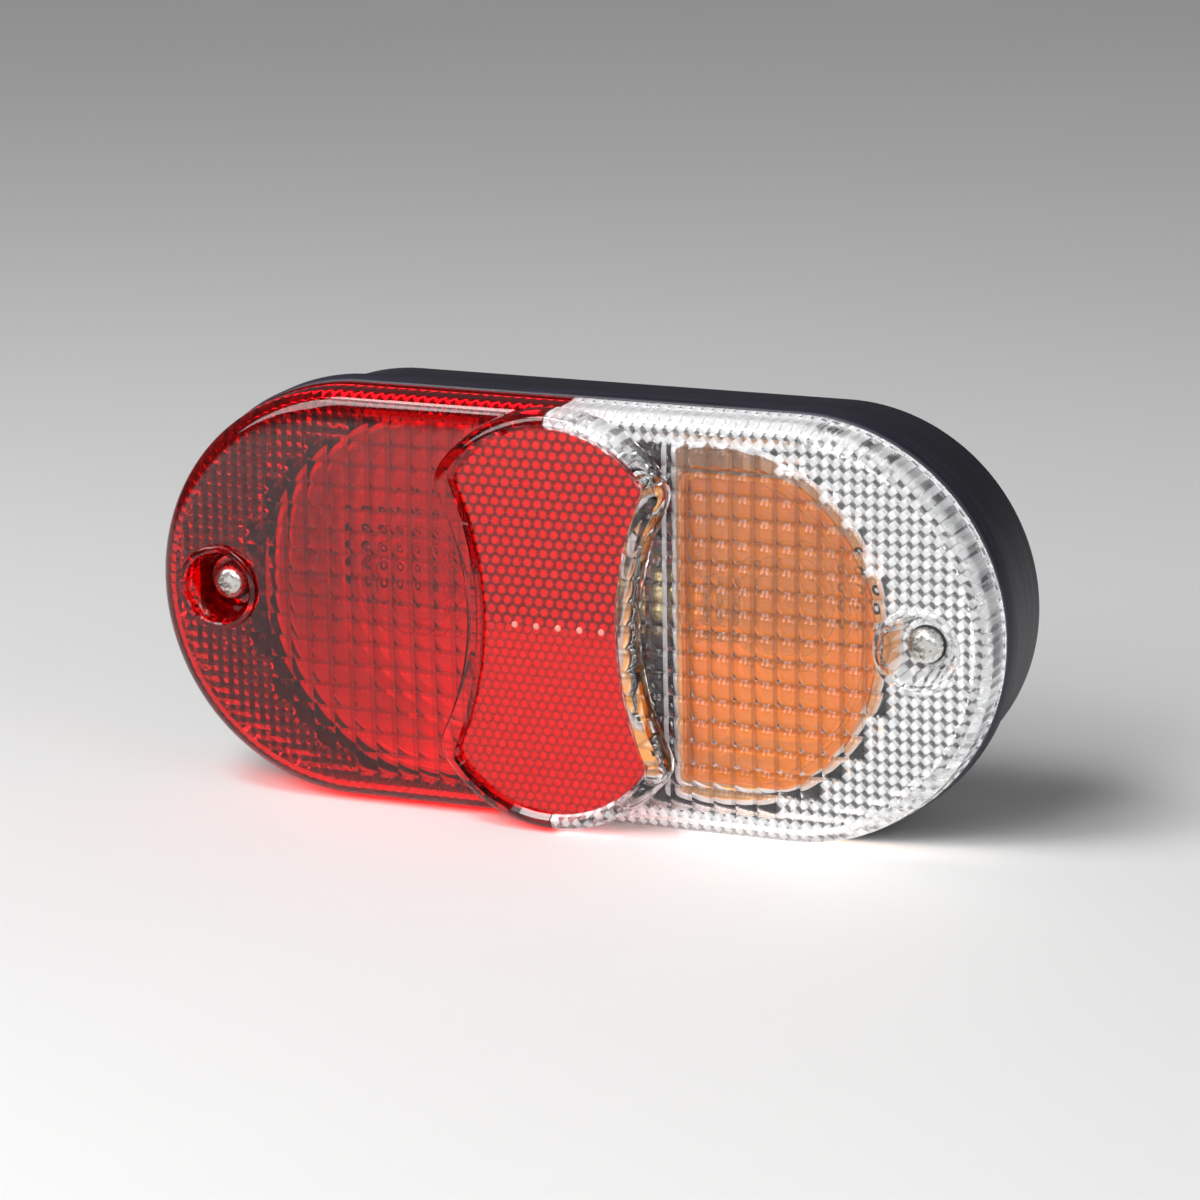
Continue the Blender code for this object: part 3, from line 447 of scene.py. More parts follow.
def rubber():
    shade = Shader("rubber", (0.012, 0.012, 0.012), 0.8)
    shade.rough(shade.noise((700, 700, 700), 3.0), 0.66, 0.9)
    shade.bump(shade.noise((5000, 5000, 5000), 2.0), 0.00005, 0.6)
    return shade.mat


def metal(name, tint, low, high, stretch=(500, 500, 500), worn=0.7, bump=0.00001):
    """Plated or bare metal: cloudy tarnish, drawn grain."""
    shade = Shader(name, tint, low, 1.0)
    cloud = shade.noise((260, 260, 260), 4.0)
    shade.base(shade.blend(shade.spread(cloud, 0.0, 1.0), tint, [c * worn for c in tint]))
    grain = shade.noise(stretch, 3.0)
    shade.rough(grain, low, high)
    shade.bump(grain, bump, 0.5)
    return shade.mat


def dull(name, tint, low, high, other=None):
    """Dull plastic, board or cement."""
    shade = Shader(name, tint, low)
    cloud = shade.noise((800, 800, 800), 4.0)
    shade.base(shade.blend(shade.spread(cloud, 0.0, 1.0), tint, other or [c * 0.7 for c in tint]))
    shade.rough(cloud, low, high)
    shade.bump(shade.noise((4000, 4000, 4000), 2.0), 0.00003, 0.5)
    return shade.mat


def finish_for(slot):
    """The material of a slot, made once."""
    made = bpy.data.materials.get("lamp " + slot)
    if made:
        return made
    lens, red = settings("lens"), settings("reflector").red
    makers = {
        # The stud ribs' whitening set below is partly frosting and partly painted sheen.
        "red_plastic": lambda: clear_plastic(slot, lens.red, lens.gloss, frost_and_sheen=0.05),
        "clear_plastic": lambda: clear_plastic(slot, lens.clear, lens.gloss, frost_and_sheen=0.42),
        "amber_plastic": lambda: clear_plastic(slot, lens.amber, 0.06, wave=0.0001, milky=0.14),
        # The reflector's cells take painted shade on their edges.
        "red_reflex": lambda: clear_plastic(slot, red, 0.03, wave=0.00001, milky=0.36, cells=True),
        # Painted glint: a pale pink that stands in for the highlights that the division dots catch.
        "painted_glint_pink": lambda: dull(slot, (0.95, 0.30, 0.24), 0.12, 0.2),
        "bulb_glass": lambda: clear_plastic(slot, (0.99, 0.99, 0.99), 0.0, 1.5, 0.00001),
        "black_plastic": housing_black,
        "black_rubber": rubber,
        "silver": lambda: metal(slot, settings("housing").silver, 0.34, 0.5, (1500, 1500, 1500), 0.93),
        "stainless": lambda: metal(slot, (0.66, 0.65, 0.62), 0.16, 0.34, (4000, 200, 4000), 0.85),
        "zinc": lambda: metal(slot, (0.62, 0.64, 0.66), 0.3, 0.5, (120, 1800, 1800), 0.7),
        "brass": lambda: metal(slot, (0.80, 0.62, 0.30), 0.2, 0.4, (1200, 200, 200), 0.65),
        "spring_steel": lambda: metal(slot, (0.5, 0.5, 0.5), 0.25, 0.4, (900, 900, 900), 0.7),
        "solder": lambda: metal(slot, (0.62, 0.62, 0.63), 0.3, 0.5, (900, 900, 900), 0.8),
        "phenolic": lambda: dull(slot, (0.23, 0.11, 0.045), 0.45, 0.65),
        "grey_plastic": lambda: dull(slot, (0.3, 0.3, 0.31), 0.4, 0.6),
        "bulb_black": lambda: dull(slot, (0.02, 0.02, 0.03), 0.12, 0.3),
    }
    mat = makers[slot]()
    mat.name = "lamp " + slot
    return mat


class Field:
    """A geometry node tree while it is wired: float maths on named inputs."""

    def __init__(self, name, **inputs):
        self.tree = bpy.data.node_groups.new(name, "GeometryNodeTree")
        face = self.tree.interface
        face.new_socket("Geometry", in_out="INPUT", socket_type="NodeSocketGeometry")
        kinds = {float: "NodeSocketFloat", int: "NodeSocketInt"}
        for label, value in inputs.items():
            kind = kinds.get(type(value), "NodeSocketMaterial")
            socket = face.new_socket(label, in_out="INPUT", socket_type=kind)
            if value is not None:
                socket.default_value = value
        face.new_socket("Geometry", in_out="OUTPUT", socket_type="NodeSocketGeometry")
        self.start = self.add("NodeGroupInput").outputs
        self.end = self.add("NodeGroupOutput")

    def add(self, kind, values=None, **fields):
        node = self.tree.nodes.new(kind)
        for label, value in fields.items():
            setattr(node, label, value)
        for label, value in (values or {}).items():
            self.feed(value, node.inputs[label])
        return node

    def feed(self, value, socket):
        if isinstance(value, bpy.types.NodeSocket):
            self.tree.links.new(value, socket)
        else:
            socket.default_value = value

    def maths(self, operation, *values):
        node = self.add("ShaderNodeMath", operation=operation)
        for value, socket in zip(values, node.inputs):
            self.feed(value, socket)
        return node.outputs[0]

    def named(self, label, kind="FLOAT"):
        node = self.add("GeometryNodeInputNamedAttribute", {"Name": label}, data_type=kind)
        return node.outputs["Attribute"]

    def close(self, geometry):
        """Realise any instances, set the material and end the tree."""
        real = self.add("GeometryNodeRealizeInstances", {"Geometry": geometry})
        done = self.add("GeometryNodeSetMaterial",
                        {"Geometry": real.outputs[0], "Material": self.start["Material"]})
        self.feed(done.outputs[0], self.end.inputs["Geometry"])


def run_field(obj, field, slot, **values):
    """Runs a tree on the object and swaps in the plain mesh that it makes."""
    modifier = obj.modifiers.new("field", "NODES")
    modifier.node_group = field.tree
    for item in field.tree.interface.items_tree:
        if item.in_out != "INPUT":
            continue
        if item.name == "Material":
            modifier[item.identifier] = finish_for(slot)
        elif item.name in values:
            modifier[item.identifier] = values[item.name]
    return baked(obj)


# ---- shapes

def stadium(inset, arc_steps, straight_steps=1, grow=0.0):
    """The lens outline, anticlockwise from the bottom of the right end, as (x, z)."""
    centre = HALF_LENGTH - HALF_HEIGHT
    radius = HALF_HEIGHT + grow - inset
    points = []
    for side in (1, -1):
        for i in range(arc_steps):
            angle = math.pi * (i / arc_steps - 0.5)
            points.append((side * (centre + radius * math.cos(angle)), side * radius * math.sin(angle)))
        for i in range(straight_steps):
            points.append((side * centre * (1 - 2 * i / straight_steps), side * radius))
    return points


def arc_through(start, middle, end, steps):
    (ax, ay), (bx, by), (cx, cy) = start, middle, end
    d = 2 * (ax * (by - cy) + bx * (cy - ay) + cx * (ay - by))
    a2, b2, c2 = ax * ax + ay * ay, bx * bx + by * by, cx * cx + cy * cy
    ux = (a2 * (by - cy) + b2 * (cy - ay) + c2 * (ay - by)) / d
    uy = (a2 * (cx - bx) + b2 * (ax - cx) + c2 * (bx - ax)) / d
    radius = math.hypot(ax - ux, ay - uy)
    first = math.atan2(ay - uy, ax - ux)
    turn = 2 * math.pi
    sweep = (math.atan2(cy - uy, cx - ux) - first) % turn
    if (math.atan2(by - uy, bx - ux) - first) % turn > sweep:
        sweep -= turn
    return [(ux + radius * math.cos(first + sweep * i / steps),
             uy + radius * math.sin(first + sweep * i / steps)) for i in range(steps)]


def rounded(points, count, reach):
    """The closed outline resampled evenly, its corners eased over about `reach`."""
    total, marks = 0.0, [0.0]
    closed = points + points[:1]
    for a, b in zip(closed, closed[1:]):
        total += math.dist(a, b)
        marks.append(total)

    def at(distance):
        distance %= total
        low = max(i for i, m in enumerate(marks) if m <= distance + 1e-12)
        low = min(low, len(points) - 1)
        part = (distance - marks[low]) / (marks[low + 1] - marks[low])
        a, b = closed[low], closed[low + 1]
        return (a[0] + (b[0] - a[0]) * part, a[1] + (b[1] - a[1]) * part)

    fine = [at(total * i / count) for i in range(count)]
    window = max(1, round(reach / total * count))
    for _ in range(2):
        fine = [tuple(sum(fine[(i + k) % count][axis] for k in range(-window, window + 1)) / (2 * window + 1)
                      for axis in (0, 1)) for i in range(count)]
    return fine


def hourglass(corner_x, apex_z, drop, waist, ease=0.0016, count=240):
    """The reflector's outline: bulging top and bottom, pinched sides, eased corners."""
    corner_z = apex_z - drop
    corners = [(-corner_x, corner_z), (corner_x, corner_z), (corner_x, -corner_z), (-corner_x, -corner_z)]
    middles = [(0, apex_z), (waist, 0), (0, -apex_z), (-waist, 0)]
    points = []
    for i in range(4):
        points += arc_through(corners[i], middles[i], corners[(i + 1) % 4], 40)
    return rounded(points, count, ease)


def opening(grow=0.0, ease=0.0006):
    """The outline of the frame's opening, which the reflector fills."""
    corner_x, margin, drop, waist = 0.0235, 0.0035, 0.013, 0.0164
    return hourglass(corner_x + grow, HALF_HEIGHT - margin + grow, drop, waist + grow, ease)


def new_object(name, data):
    obj = bpy.data.objects.new(name, data)
    bpy.context.scene.collection.objects.link(obj)
    return obj


def mesh_data(name, mesh):
    """The bmesh as mesh data, and the bmesh freed."""
    data = bpy.data.meshes.new(name)
    mesh.to_mesh(data)
    mesh.free()
    return data


def object_from(name, mesh, sharp=35):
    """The bmesh as an object: faces outwards, smooth but for its sharp edges."""
    bmesh.ops.remove_doubles(mesh, verts=mesh.verts, dist=1e-7)
    bmesh.ops.recalc_face_normals(mesh, faces=mesh.faces)
    if mesh.calc_volume(signed=True) < 0:
        bmesh.ops.reverse_faces(mesh, faces=mesh.faces)
    obj = new_object(name, mesh_data(name, mesh))
    soften(obj, sharp)
    return obj


def soften(obj, sharp=35):
    obj.data.shade_smooth()
    obj.data.set_sharp_from_angle(angle=math.radians(sharp))


def skin(mesh, rings, closed=False, caps=True):
    pairs = list(zip(rings, rings[1:])) + ([(rings[-1], rings[0])] if closed else [])
    for low, high in pairs:
        for i in range(len(low)):
            j = (i + 1) % len(low)
            mesh.faces.new((low[i], low[j], high[j], high[i]))
    if caps and not closed:
        mesh.faces.new(rings[0])
        mesh.faces.new(rings[-1])


def loft(name, sections, closed=False, sharp=35):
    """A solid through outlines of equal count, each at its own y."""
    mesh = bmesh.new()
    rings = [[mesh.verts.new((x, y, z)) for x, z in outline] for outline, y in sections]
    skin(mesh, rings, closed)
    return object_from(name, mesh, sharp)


def turned(name, profile, place=(0.0, 0.0), axis="Y", steps=48, closed=False, sharp=35):
    """A profile of (radius, along) turned round an axis. place is (x, z) for Y, (y, z) for X."""
    mesh = bmesh.new()
    u, v = place
    rings = []
    for radius, along in profile:
        count = 1 if radius == 0 else steps
        ring = []
        for i in range(count):
            angle = 2 * math.pi * i / steps
            a, b = u + radius * math.cos(angle), v + radius * math.sin(angle)
            ring.append(mesh.verts.new((a, along, b) if axis == "Y" else (along, a, b)))
        rings.append(ring)
    pairs = list(zip(rings, rings[1:])) + ([(rings[-1], rings[0])] if closed else [])
    for low, high in pairs:
        if len(low) == len(high) == 1:
            continue
        for i in range(steps):
            j = (i + 1) % steps
            if len(low) == 1:
                mesh.faces.new((low[0], high[j], high[i]))
            elif len(high) == 1:
                mesh.faces.new((low[i], low[j], high[0]))
            else:
                mesh.faces.new((low[i], low[j], high[j], high[i]))
    if not closed:
        for ring in (rings[0], rings[-1]):
            if len(ring) > 1:
                mesh.faces.new(ring)
    return object_from(name, mesh, sharp)


def block(name, low, high, bevel=0.0):
    mesh = bmesh.new()
    bmesh.ops.create_cube(mesh, size=1.0)
    for vertex in mesh.verts:
        vertex.co = Vector(l + (h - l) * (c + 0.5) for l, h, c in zip(low, high, vertex.co))
    if bevel:
        bmesh.ops.bevel(mesh, geom=mesh.edges[:], offset=bevel, segments=2, affect="EDGES", profile=0.5)
    return object_from(name, mesh)


def baked(obj):
    """Applies the object's modifiers."""
    bpy.context.view_layer.update()
    graph = bpy.context.evaluated_depsgraph_get()
    mesh = bpy.data.meshes.new_from_object(obj.evaluated_get(graph), depsgraph=graph)
    obj.modifiers.clear()
    obj.data = mesh
    return obj


def combine(obj, operation, *others):
    for other in others:
        modifier = obj.modifiers.new(operation, "BOOLEAN")
        modifier.operation = operation
        modifier.solver = "EXACT"
        modifier.object = other
    baked(obj)
    for other in others:
        bpy.data.objects.remove(other)
    return obj


def cut(obj, *others):
    return combine(obj, "DIFFERENCE", *others)


def join(obj, *others):
    return combine(obj, "UNION", *others)


def merged(name, *objs):
    """The meshes of several objects in one, without a Boolean."""
    mesh = bmesh.new()
    for obj in objs:
        mesh.from_mesh(obj.data)
        bpy.data.objects.remove(obj)
    return new_object(name, mesh_data(name, mesh))


def place(obj, body, slot, *nodes, sharp=None, finish=None):
    """The finished piece rides its body and stands for its CAD nodes. A finish of its own has no slot."""
    if sharp:
        soften(obj, sharp)
    obj.data.materials.clear()
    obj.data.materials.append(finish_for(finish or slot))
    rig.ride(obj, body)
    if slot:
        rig.slot(obj, slot)
    if nodes:
        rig.replaces(obj, *nodes)
    return obj


# ---- lens

def inset_of(x, z):
    """Distance of a point in from the lens outline."""
    reach = HALF_LENGTH - HALF_HEIGHT
    return HALF_HEIGHT - math.hypot(x - max(-reach, min(reach, x)), z)


def crown_y(inset):
    return LENS_FRONT + CROWN * (1 - inset / HALF_HEIGHT) ** 2


def lens_optics():
    """Displaces the inside of the lens into studs, pillows and skirt flutes."""
    field = Field("Lens Optics", Stud_Pitch=0.00267, Stud_Depth=0.001, Pillow_Depth=0.0005,
                  Tooth_Depth=0.0004, Material=None)
    position = field.add("GeometryNodeInputPosition")
    split = field.add("ShaderNodeSeparateXYZ", {"Vector": position.outputs[0]})
    stud, pillow = [], []
    for axis in ("X", "Z"):
        turn = field.maths("FRACT", field.maths("DIVIDE", split.outputs[axis], field.start["Stud_Pitch"]))
        stud.append(field.maths("ABSOLUTE", field.maths("MULTIPLY_ADD", turn, 2.0, -1.0)))
        wide = field.maths("MULTIPLY", field.start["Stud_Pitch"], 2.0)
        turn = field.maths("FRACT", field.maths("DIVIDE", split.outputs[axis], wide))
        arm = field.maths("MULTIPLY_ADD", turn, 2.0, -1.0)
        pillow.append(field.maths("MULTIPLY", arm, arm))
    waves = []
    for pair, mask, depth, level in ((stud, "stud", "Stud_Depth", 0.0),
                                     (pillow, "pillow", "Pillow_Depth", 0.35)):
        wave = field.maths("MULTIPLY_ADD", field.maths("ADD", *pair), 0.5, -level)
        wave = field.maths("MULTIPLY", wave, field.named(mask))
        waves.append(field.maths("MULTIPLY", wave, field.start[depth]))
    lift = field.add("ShaderNodeCombineXYZ", {"Y": field.maths("ADD", *waves)})
    tooth = field.add("ShaderNodeVectorMath", operation="SCALE")
    field.feed(field.named("tooth", "FLOAT_VECTOR"), tooth.inputs[0])
    field.feed(field.start["Tooth_Depth"], tooth.inputs["Scale"])
    total = field.add("ShaderNodeVectorMath", operation="ADD")
    field.feed(lift.outputs[0], total.inputs[0])
    field.feed(tooth.outputs[0], total.inputs[1])
    moved = field.add("GeometryNodeSetPosition",
                      {"Geometry": field.start["Geometry"], "Offset": total.outputs[0]})
    field.close(moved.outputs[0])
    return field


def in_window(x, z, cell):
    """True if the pillow that holds this point is inside one of the two round windows."""
    lens = settings("lens")
    wide = 8 * cell
    cx, cz = (math.floor(x / wide) + 0.5) * wide, (math.floor(z / wide) + 0.5) * wide
    return math.hypot(abs(cx) - lens.window_centre, cz) < lens.window_radius - 0.35 * wide and abs(cx) > 0.012


def lens_shell():
    """The whole lens before it is split: a smooth outside and a fine inside mesh with its masks."""
    cell = settings("lens").stud_pitch / 4
    arc, straight = 232, 164
    rings = [(-BEAD, LENS_REAR), (-BEAD, LENS_REAR - 0.0012), (-0.0001, LENS_REAR - 0.0017)]
    for i in range(8):
        angle = math.pi / 2 * i / 7
        inset = LENS_ROUND * (1 - math.cos(angle))
        rings.append((inset, crown_y(inset) + LENS_ROUND * (1 - math.sin(angle))))
    for part in (0.2, 0.35, 0.55, 0.75, 0.97):
        rings.append((part * HALF_HEIGHT, crown_y(part * HALF_HEIGHT)))
    inner = [(SKIN, LENS_REAR)]
    fillet = 0.0015
    corner = crown_y(SKIN) + SKIN + fillet
    inner.append((SKIN, corner))
    for angle in (30, 60, 90):
        inset = SKIN + fillet * (1 - math.cos(math.radians(angle)))
        inner.append((inset, crown_y(inset) + SKIN + fillet * (1 - math.sin(math.radians(angle)))))
    mesh = bmesh.new()
    mask = {name: mesh.verts.layers.float.new(name) for name in ("stud", "pillow")}
    tooth = mesh.verts.layers.float_vector.new("tooth")
    outer = [[mesh.verts.new((x, y, z)) for x, z in stadium(i, arc, straight)] for i, y in rings]
    inside = [[mesh.verts.new((x, y, z)) for x, z in stadium(i, arc, straight)] for i, y in inner]
    flat = stadium(0.0, arc, straight)
    deep = stadium(0.001, arc, straight)
    for number, ring in enumerate(inside[1:4]):
        for i, vertex in enumerate(ring):
            way = Vector((deep[i][0] - flat[i][0], 0.0, deep[i][1] - flat[i][1])).normalized()
            vertex[tooth] = (way + Vector((0, (0.0, 0.5, 1.0)[number], 0))) * (1.0, 0.5, 0.0, 0.5)[i % 4]
    skin(mesh, outer, caps=False)
    mesh.faces.new(outer[-1])
    skin(mesh, [outer[0], inside[0]], caps=False)
    skin(mesh, inside, caps=False)
    edge = inner[-1][0] + 0.6 * cell
    across, up = int(HALF_LENGTH / cell) + 1, int(HALF_HEIGHT / cell) + 1
    grid = {}

    def corner_at(i, k):
        if (i, k) not in grid:
            x, z = i * cell, k * cell
            inset = inset_of(x, z)
            vertex = mesh.verts.new((x, crown_y(inset) + SKIN, z))
            window = [in_window(x + a, z + b, cell) for a in (-0.1 * cell, 0.1 * cell)
                      for b in (-0.1 * cell, 0.1 * cell)]
            vertex[mask["pillow"]] = float(any(window))
            vertex[mask["stud"]] = float(not any(window))
            grid[(i, k)] = vertex
        return grid[(i, k)]

    for i in range(-across, across):
        for k in range(-up, up):
            if min(inset_of(a * cell, b * cell) for a in (i, i + 1) for b in (k, k + 1)) >= edge:
                mesh.faces.new([corner_at(i, k), corner_at(i + 1, k),
                                corner_at(i + 1, k + 1), corner_at(i, k + 1)])
    rim = [e for e in mesh.edges if e.is_boundary]
    bmesh.ops.triangle_fill(mesh, use_beauty=True, use_dissolve=False, edges=rim, normal=(0, 1, 0))
    return object_from("lens shell", mesh)


def make_lens():
    """Joins the frame and the screw wells to the shell, opens it, and splits it by colour."""
    lens = settings("lens")
    shell = lens_shell()
    run_field(shell, lens_optics(), "clear_plastic", Stud_Pitch=lens.stud_pitch,
              Stud_Depth=lens.stud_depth, Pillow_Depth=lens.pillow_depth, Tooth_Depth=lens.tooth_depth)
    inside = LENS_FRONT + SKIN
    corner_x, proud, drop, waist, ease = 0.0296, 0.0005, 0.0175, 0.021, 0.0026
    frame_rings = []
    for inset, y in ((0.0, inside - 0.0004), (0.0001, FRAME_FRONT + 0.0032), (0.0003, FRAME_FRONT + 0.0018),
                     (0.0009, FRAME_FRONT + 0.0008), (0.0017, FRAME_FRONT + 0.0002), (0.0026, FRAME_FRONT)):
        outline = hourglass(corner_x - inset, HALF_HEIGHT + proud - inset, drop, waist - inset, ease)
        frame_rings.append((outline, y))
    adders, cutters = [loft("frame", frame_rings)], []
    seat = FRAME_FRONT + 0.0017
    cutters.append(loft("opening", [(opening(0.0018), FRAME_FRONT - 0.001), (opening(0.0012), FRAME_FRONT),
                                    (opening(0.0), FRAME_FRONT + 0.0012), (opening(0.0), seat),
                                    (opening(0.0009), seat), (opening(0.0009), inside + 0.012)]))
    for _, sign in SIDES:
        at = (sign * SCREW_X, 0.0)
        top = LENS_FRONT - 0.001
        cup = [(0.0052, LENS_REAR), (0.0052, WELL_SEAT + 0.002), (0.008, WELL_SEAT - 0.0006),
               (0.0102, LENS_FRONT + 0.002), (0.0102, top + 0.0006), (0.01, top + 0.0002), (0.0096, top)]
        adders.append(turned("cup", cup, at, steps=72))
        clear = SHANK + 0.0005
        well = [(0.0092, top - 0.001), (0.0089, top), (0.0085, top + 0.0003), (0.0083, top + 0.001),
                (0.0064, WELL_SEAT - 0.0004), (0.006, WELL_SEAT), (clear, WELL_SEAT),
                (clear, LENS_REAR + 0.002)]
        cutters.append(turned("well", well, at, steps=72))
    join(shell, merged("adders", *adders))
    cut(shell, merged("cutters", *cutters))
    for slot, node, sign in (("red_plastic", "lens_red", -1), ("clear_plastic", "lens_clear", 1)):
        half = new_object(node + "_moulding", shell.data.copy())
        ends = sorted((sign * GAP / 2, sign * 0.2))
        keep = block("keep", (ends[0], -0.1, -0.1), (ends[1], 0.1, 0.1))
        combine(half, "INTERSECT", keep)
        place(half, "lens", slot, node, sharp=28)
    bpy.data.objects.remove(shell)


# ---- reflector

CUBE_SHARE = 0.6


def prism_field():
    field = Field("Reflector Prisms", Depth=0.0011, Material=None)
    depth = field.maths("MULTIPLY", field.named("prism"), field.start["Depth"])
    lift = field.add("ShaderNodeCombineXYZ", {"Y": depth})
    moved = field.add("GeometryNodeSetPosition",
                      {"Geometry": field.start["Geometry"], "Offset": lift.outputs[0]})
    field.close(moved.outputs[0])
    return field


def division_dots():
    """A row of small domes along X."""
    field = Field("Division Dots", Count=5, Pitch=0.0054, Dot=0.0008, At_X=0.0, At_Y=0.0, At_Z=0.0,
                  Material=None)
    start = field.add("ShaderNodeCombineXYZ", {a: field.start["At_" + a] for a in "XYZ"})
    gap = field.add("ShaderNodeCombineXYZ", {"X": field.start["Pitch"]})
    row = field.add("GeometryNodeMeshLine", {
        "Count": field.start["Count"], "Start Location": start.outputs[0], "Offset": gap.outputs[0]})
    ball = field.add("GeometryNodeMeshUVSphere", {"Segments": 16, "Rings": 10, "Radius": field.start["Dot"]})
    flat = field.add("GeometryNodeTransform", {"Geometry": ball.outputs[0], "Scale": (1.0, 0.45, 1.0)})
    dots = field.add("GeometryNodeInstanceOnPoints", {"Points": row.outputs[0], "Instance": flat.outputs[0]})
    field.close(dots.outputs[0])
    return field


def contains(polygon, x, z):
    inside = False
    for (ax, az), (bx, bz) in zip(polygon, polygon[1:] + polygon[:1]):
        if (az > z) != (bz > z) and x < (bx - ax) * (z - az) / (bz - az) + ax:
            inside = not inside
    return inside


def make_reflector():
    """A polished face with two fields of prisms behind it, its dots and its backing."""
    reflector = settings("reflector")
    grow = 0.0009 - GAP
    front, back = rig.box("reflex_reflector")[0].y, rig.box("reflex_reflector")[1].y
    base = back - 0.00115
    mesh = bmesh.new()
    prism = mesh.verts.layers.float.new("prism")
    rings = [[mesh.verts.new((x, y, z)) for x, z in opening(grow - inset)]
             for inset, y in ((0.0006, front), (0.0, front + 0.0003), (0.0, base))]
    mesh.faces.new(rings[0])
    skin(mesh, rings, caps=False)
    limit = opening(grow - 0.0006)
    for pitch, turned_over, low, high in ((reflector.prism_pitch, False, reflector.division + 0.0008, 0.06),
                                          (reflector.fine_pitch, True, -0.06, reflector.division - 0.0008)):
        points, row = {}, pitch * math.sqrt(3) / 2
        reach = int(0.05 / row)

        def at(i, j, pitch=pitch, row=row, turned_over=turned_over, points=points, mesh=mesh):
            if (i, j) not in points:
                u, v = pitch * (i + 0.5 * (j % 2)), row * j
                x, z = (v, u) if turned_over else (u, v)
                points[(i, j)] = (x, z, [])
            return points[(i, j)]

        for j in range(-reach, reach):
            for i in range(-reach, reach):
                odd = j % 2
                for trio in (((i, j), (i + 1, j), (i + odd, j + 1)),
                             ((i + 1, j), (i + 1 + odd, j + 1), (i + odd, j + 1))):
                    spots = [at(*key) for key in trio]
                    if not all(low < z < high and contains(limit, x, z) for x, z, _ in spots):
                        continue
                    verts = []
                    for x, z, made in spots:
                        if not made:
                            made.append(mesh.verts.new((x, base, z)))
                        verts.append(made[0])
                    tip = mesh.verts.new([sum(v.co[a] for v in verts) / 3 for a in range(3)])
                    tip[prism] = pitch / reflector.prism_pitch
                    for a in range(3):
                        mesh.faces.new((verts[a], verts[(a + 1) % 3], tip))
    rim = [e for e in mesh.edges if e.is_boundary]
    bmesh.ops.triangle_fill(mesh, use_beauty=True, use_dissolve=False, edges=rim, normal=(0, 1, 0))
    body = object_from("reflex_prisms", mesh, 20)
    run_field(body, prism_field(), "red_reflex", Depth=reflector.prism_pitch / math.sqrt(6) * CUBE_SHARE)
    place(body, "lens", "red_reflex", "reflex_reflector", sharp=15)
    # The division dots take a pale pink finish, a painted glint.
    dots = run_field(new_object("reflector_division_dots", bpy.data.meshes.new("dots")), division_dots(),
                     "painted_glint_pink", Pitch=reflector.dot_pitch, At_X=-0.0088, At_Y=front + 0.00008,
                     At_Z=reflector.division)
    place(dots, "lens", None, sharp=60, finish="painted_glint_pink")
    low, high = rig.box("reflector_backing")
    backing = loft("reflector_backing_plate", [
        (opening(grow - 0.0004), low.y), (opening(grow), low.y + 0.0003), (opening(grow), high.y)])
    place(backing, "lens", "grey_plastic", "reflector_backing")


# ---- amber filter and trays

TRAY_RADIUS = 0.0428
TRAY_CENTRE = 0.0347


def window(flat_x, edge, cut_z=None, steps=72):
    """A disc round the tray's centre, cut straight at flat_x and, if asked, above and below."""
    radius = TRAY_RADIUS - edge
    end = math.acos((flat_x - TRAY_CENTRE) / radius)
    points = []
    for i in range(steps + 1):
        angle = end * (2 * i / steps - 1)
        z = radius * math.sin(angle)
        if cut_z is not None:
            z = max(-cut_z, min(cut_z, z))
        points.append((TRAY_CENTRE + radius * math.cos(angle), z))
    return points


def make_amber():
    """The indicator's filter, a shallow cover with a lip round its rim."""
    low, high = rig.box("amber_filter")
    rim, back, wall, lip = low.y, high.y, 0.0014, 0.0026
    sections = []
    for inset, y in ((0.0016, back), (0.0004, back - 0.0004), (0.0, back - 0.0014), (0.0, rim + 0.0009),
                     (-lip, rim + 0.0009), (-lip, rim), (wall, rim),
                     (wall, back - 0.0022), (wall + 0.0006, back - wall - 0.0002),
                     (wall + 0.002, back - wall)):
        straight = max(inset, 0.0)
        outline = window(0.0295 + straight, 0.0036 + inset, 0.0365 - straight)
        sections.append((rounded(outline, 200, 0.0012), y))
    place(loft("amber_filter_cover", sections), "lens", "amber_plastic", "amber_filter")


def make_trays():
    """The two bowls that throw the bulbs' light forward, each with a flat inner side."""
    inner_x, wall, flange, inset_floor = 0.0245, 0.0012, 0.0012, 0.009
    floor, rim, slope = FLOOR_Y - GAP, RIM_Y - 0.002, 0.003
    front = floor - wall
    sections = [(inset_floor, floor), (slope + 0.002, floor - 0.0015), (slope, floor - 0.004),
                (0.001, floor - 0.009), (0.0, floor - 0.014),
                (0.0, rim + wall), (-flange, rim + wall), (-flange, rim + 0.0002), (0.0002 - flange, rim),
                (wall - 0.0004, rim), (wall, rim + 0.0004), (wall, floor - 0.014),
                (0.001 + wall, floor - 0.01), (slope + wall, front - 0.004),
                (slope + 0.002 + wall, front - 0.0015), (inset_floor + wall, front)]
    for side, sign in SIDES:
        rings = []
        for inset, y in sections:
            outline = rounded(window(inner_x + inset, inset), 220, 0.0009)
            rings.append(([(sign * x, z) for x, z in outline], y))
        tray = loft("tray", rings)
        socket_hole, bush_hole = 0.0096, 0.0063
        cut(tray, on_axis("socket hole", [(socket_hole, 0.022), (socket_hole, 0.03)], sign, 64),
            turned("bush hole", [(bush_hole, FLOOR_Y), (bush_hole, FLOOR_Y - 0.008)], (sign * FIXING_X, 0.0)))
        tray.name = f"tray_bowl_{side}"
        place(tray, "base", "silver", f"reflector_tray_{side}", sharp=30)


# ---- housing

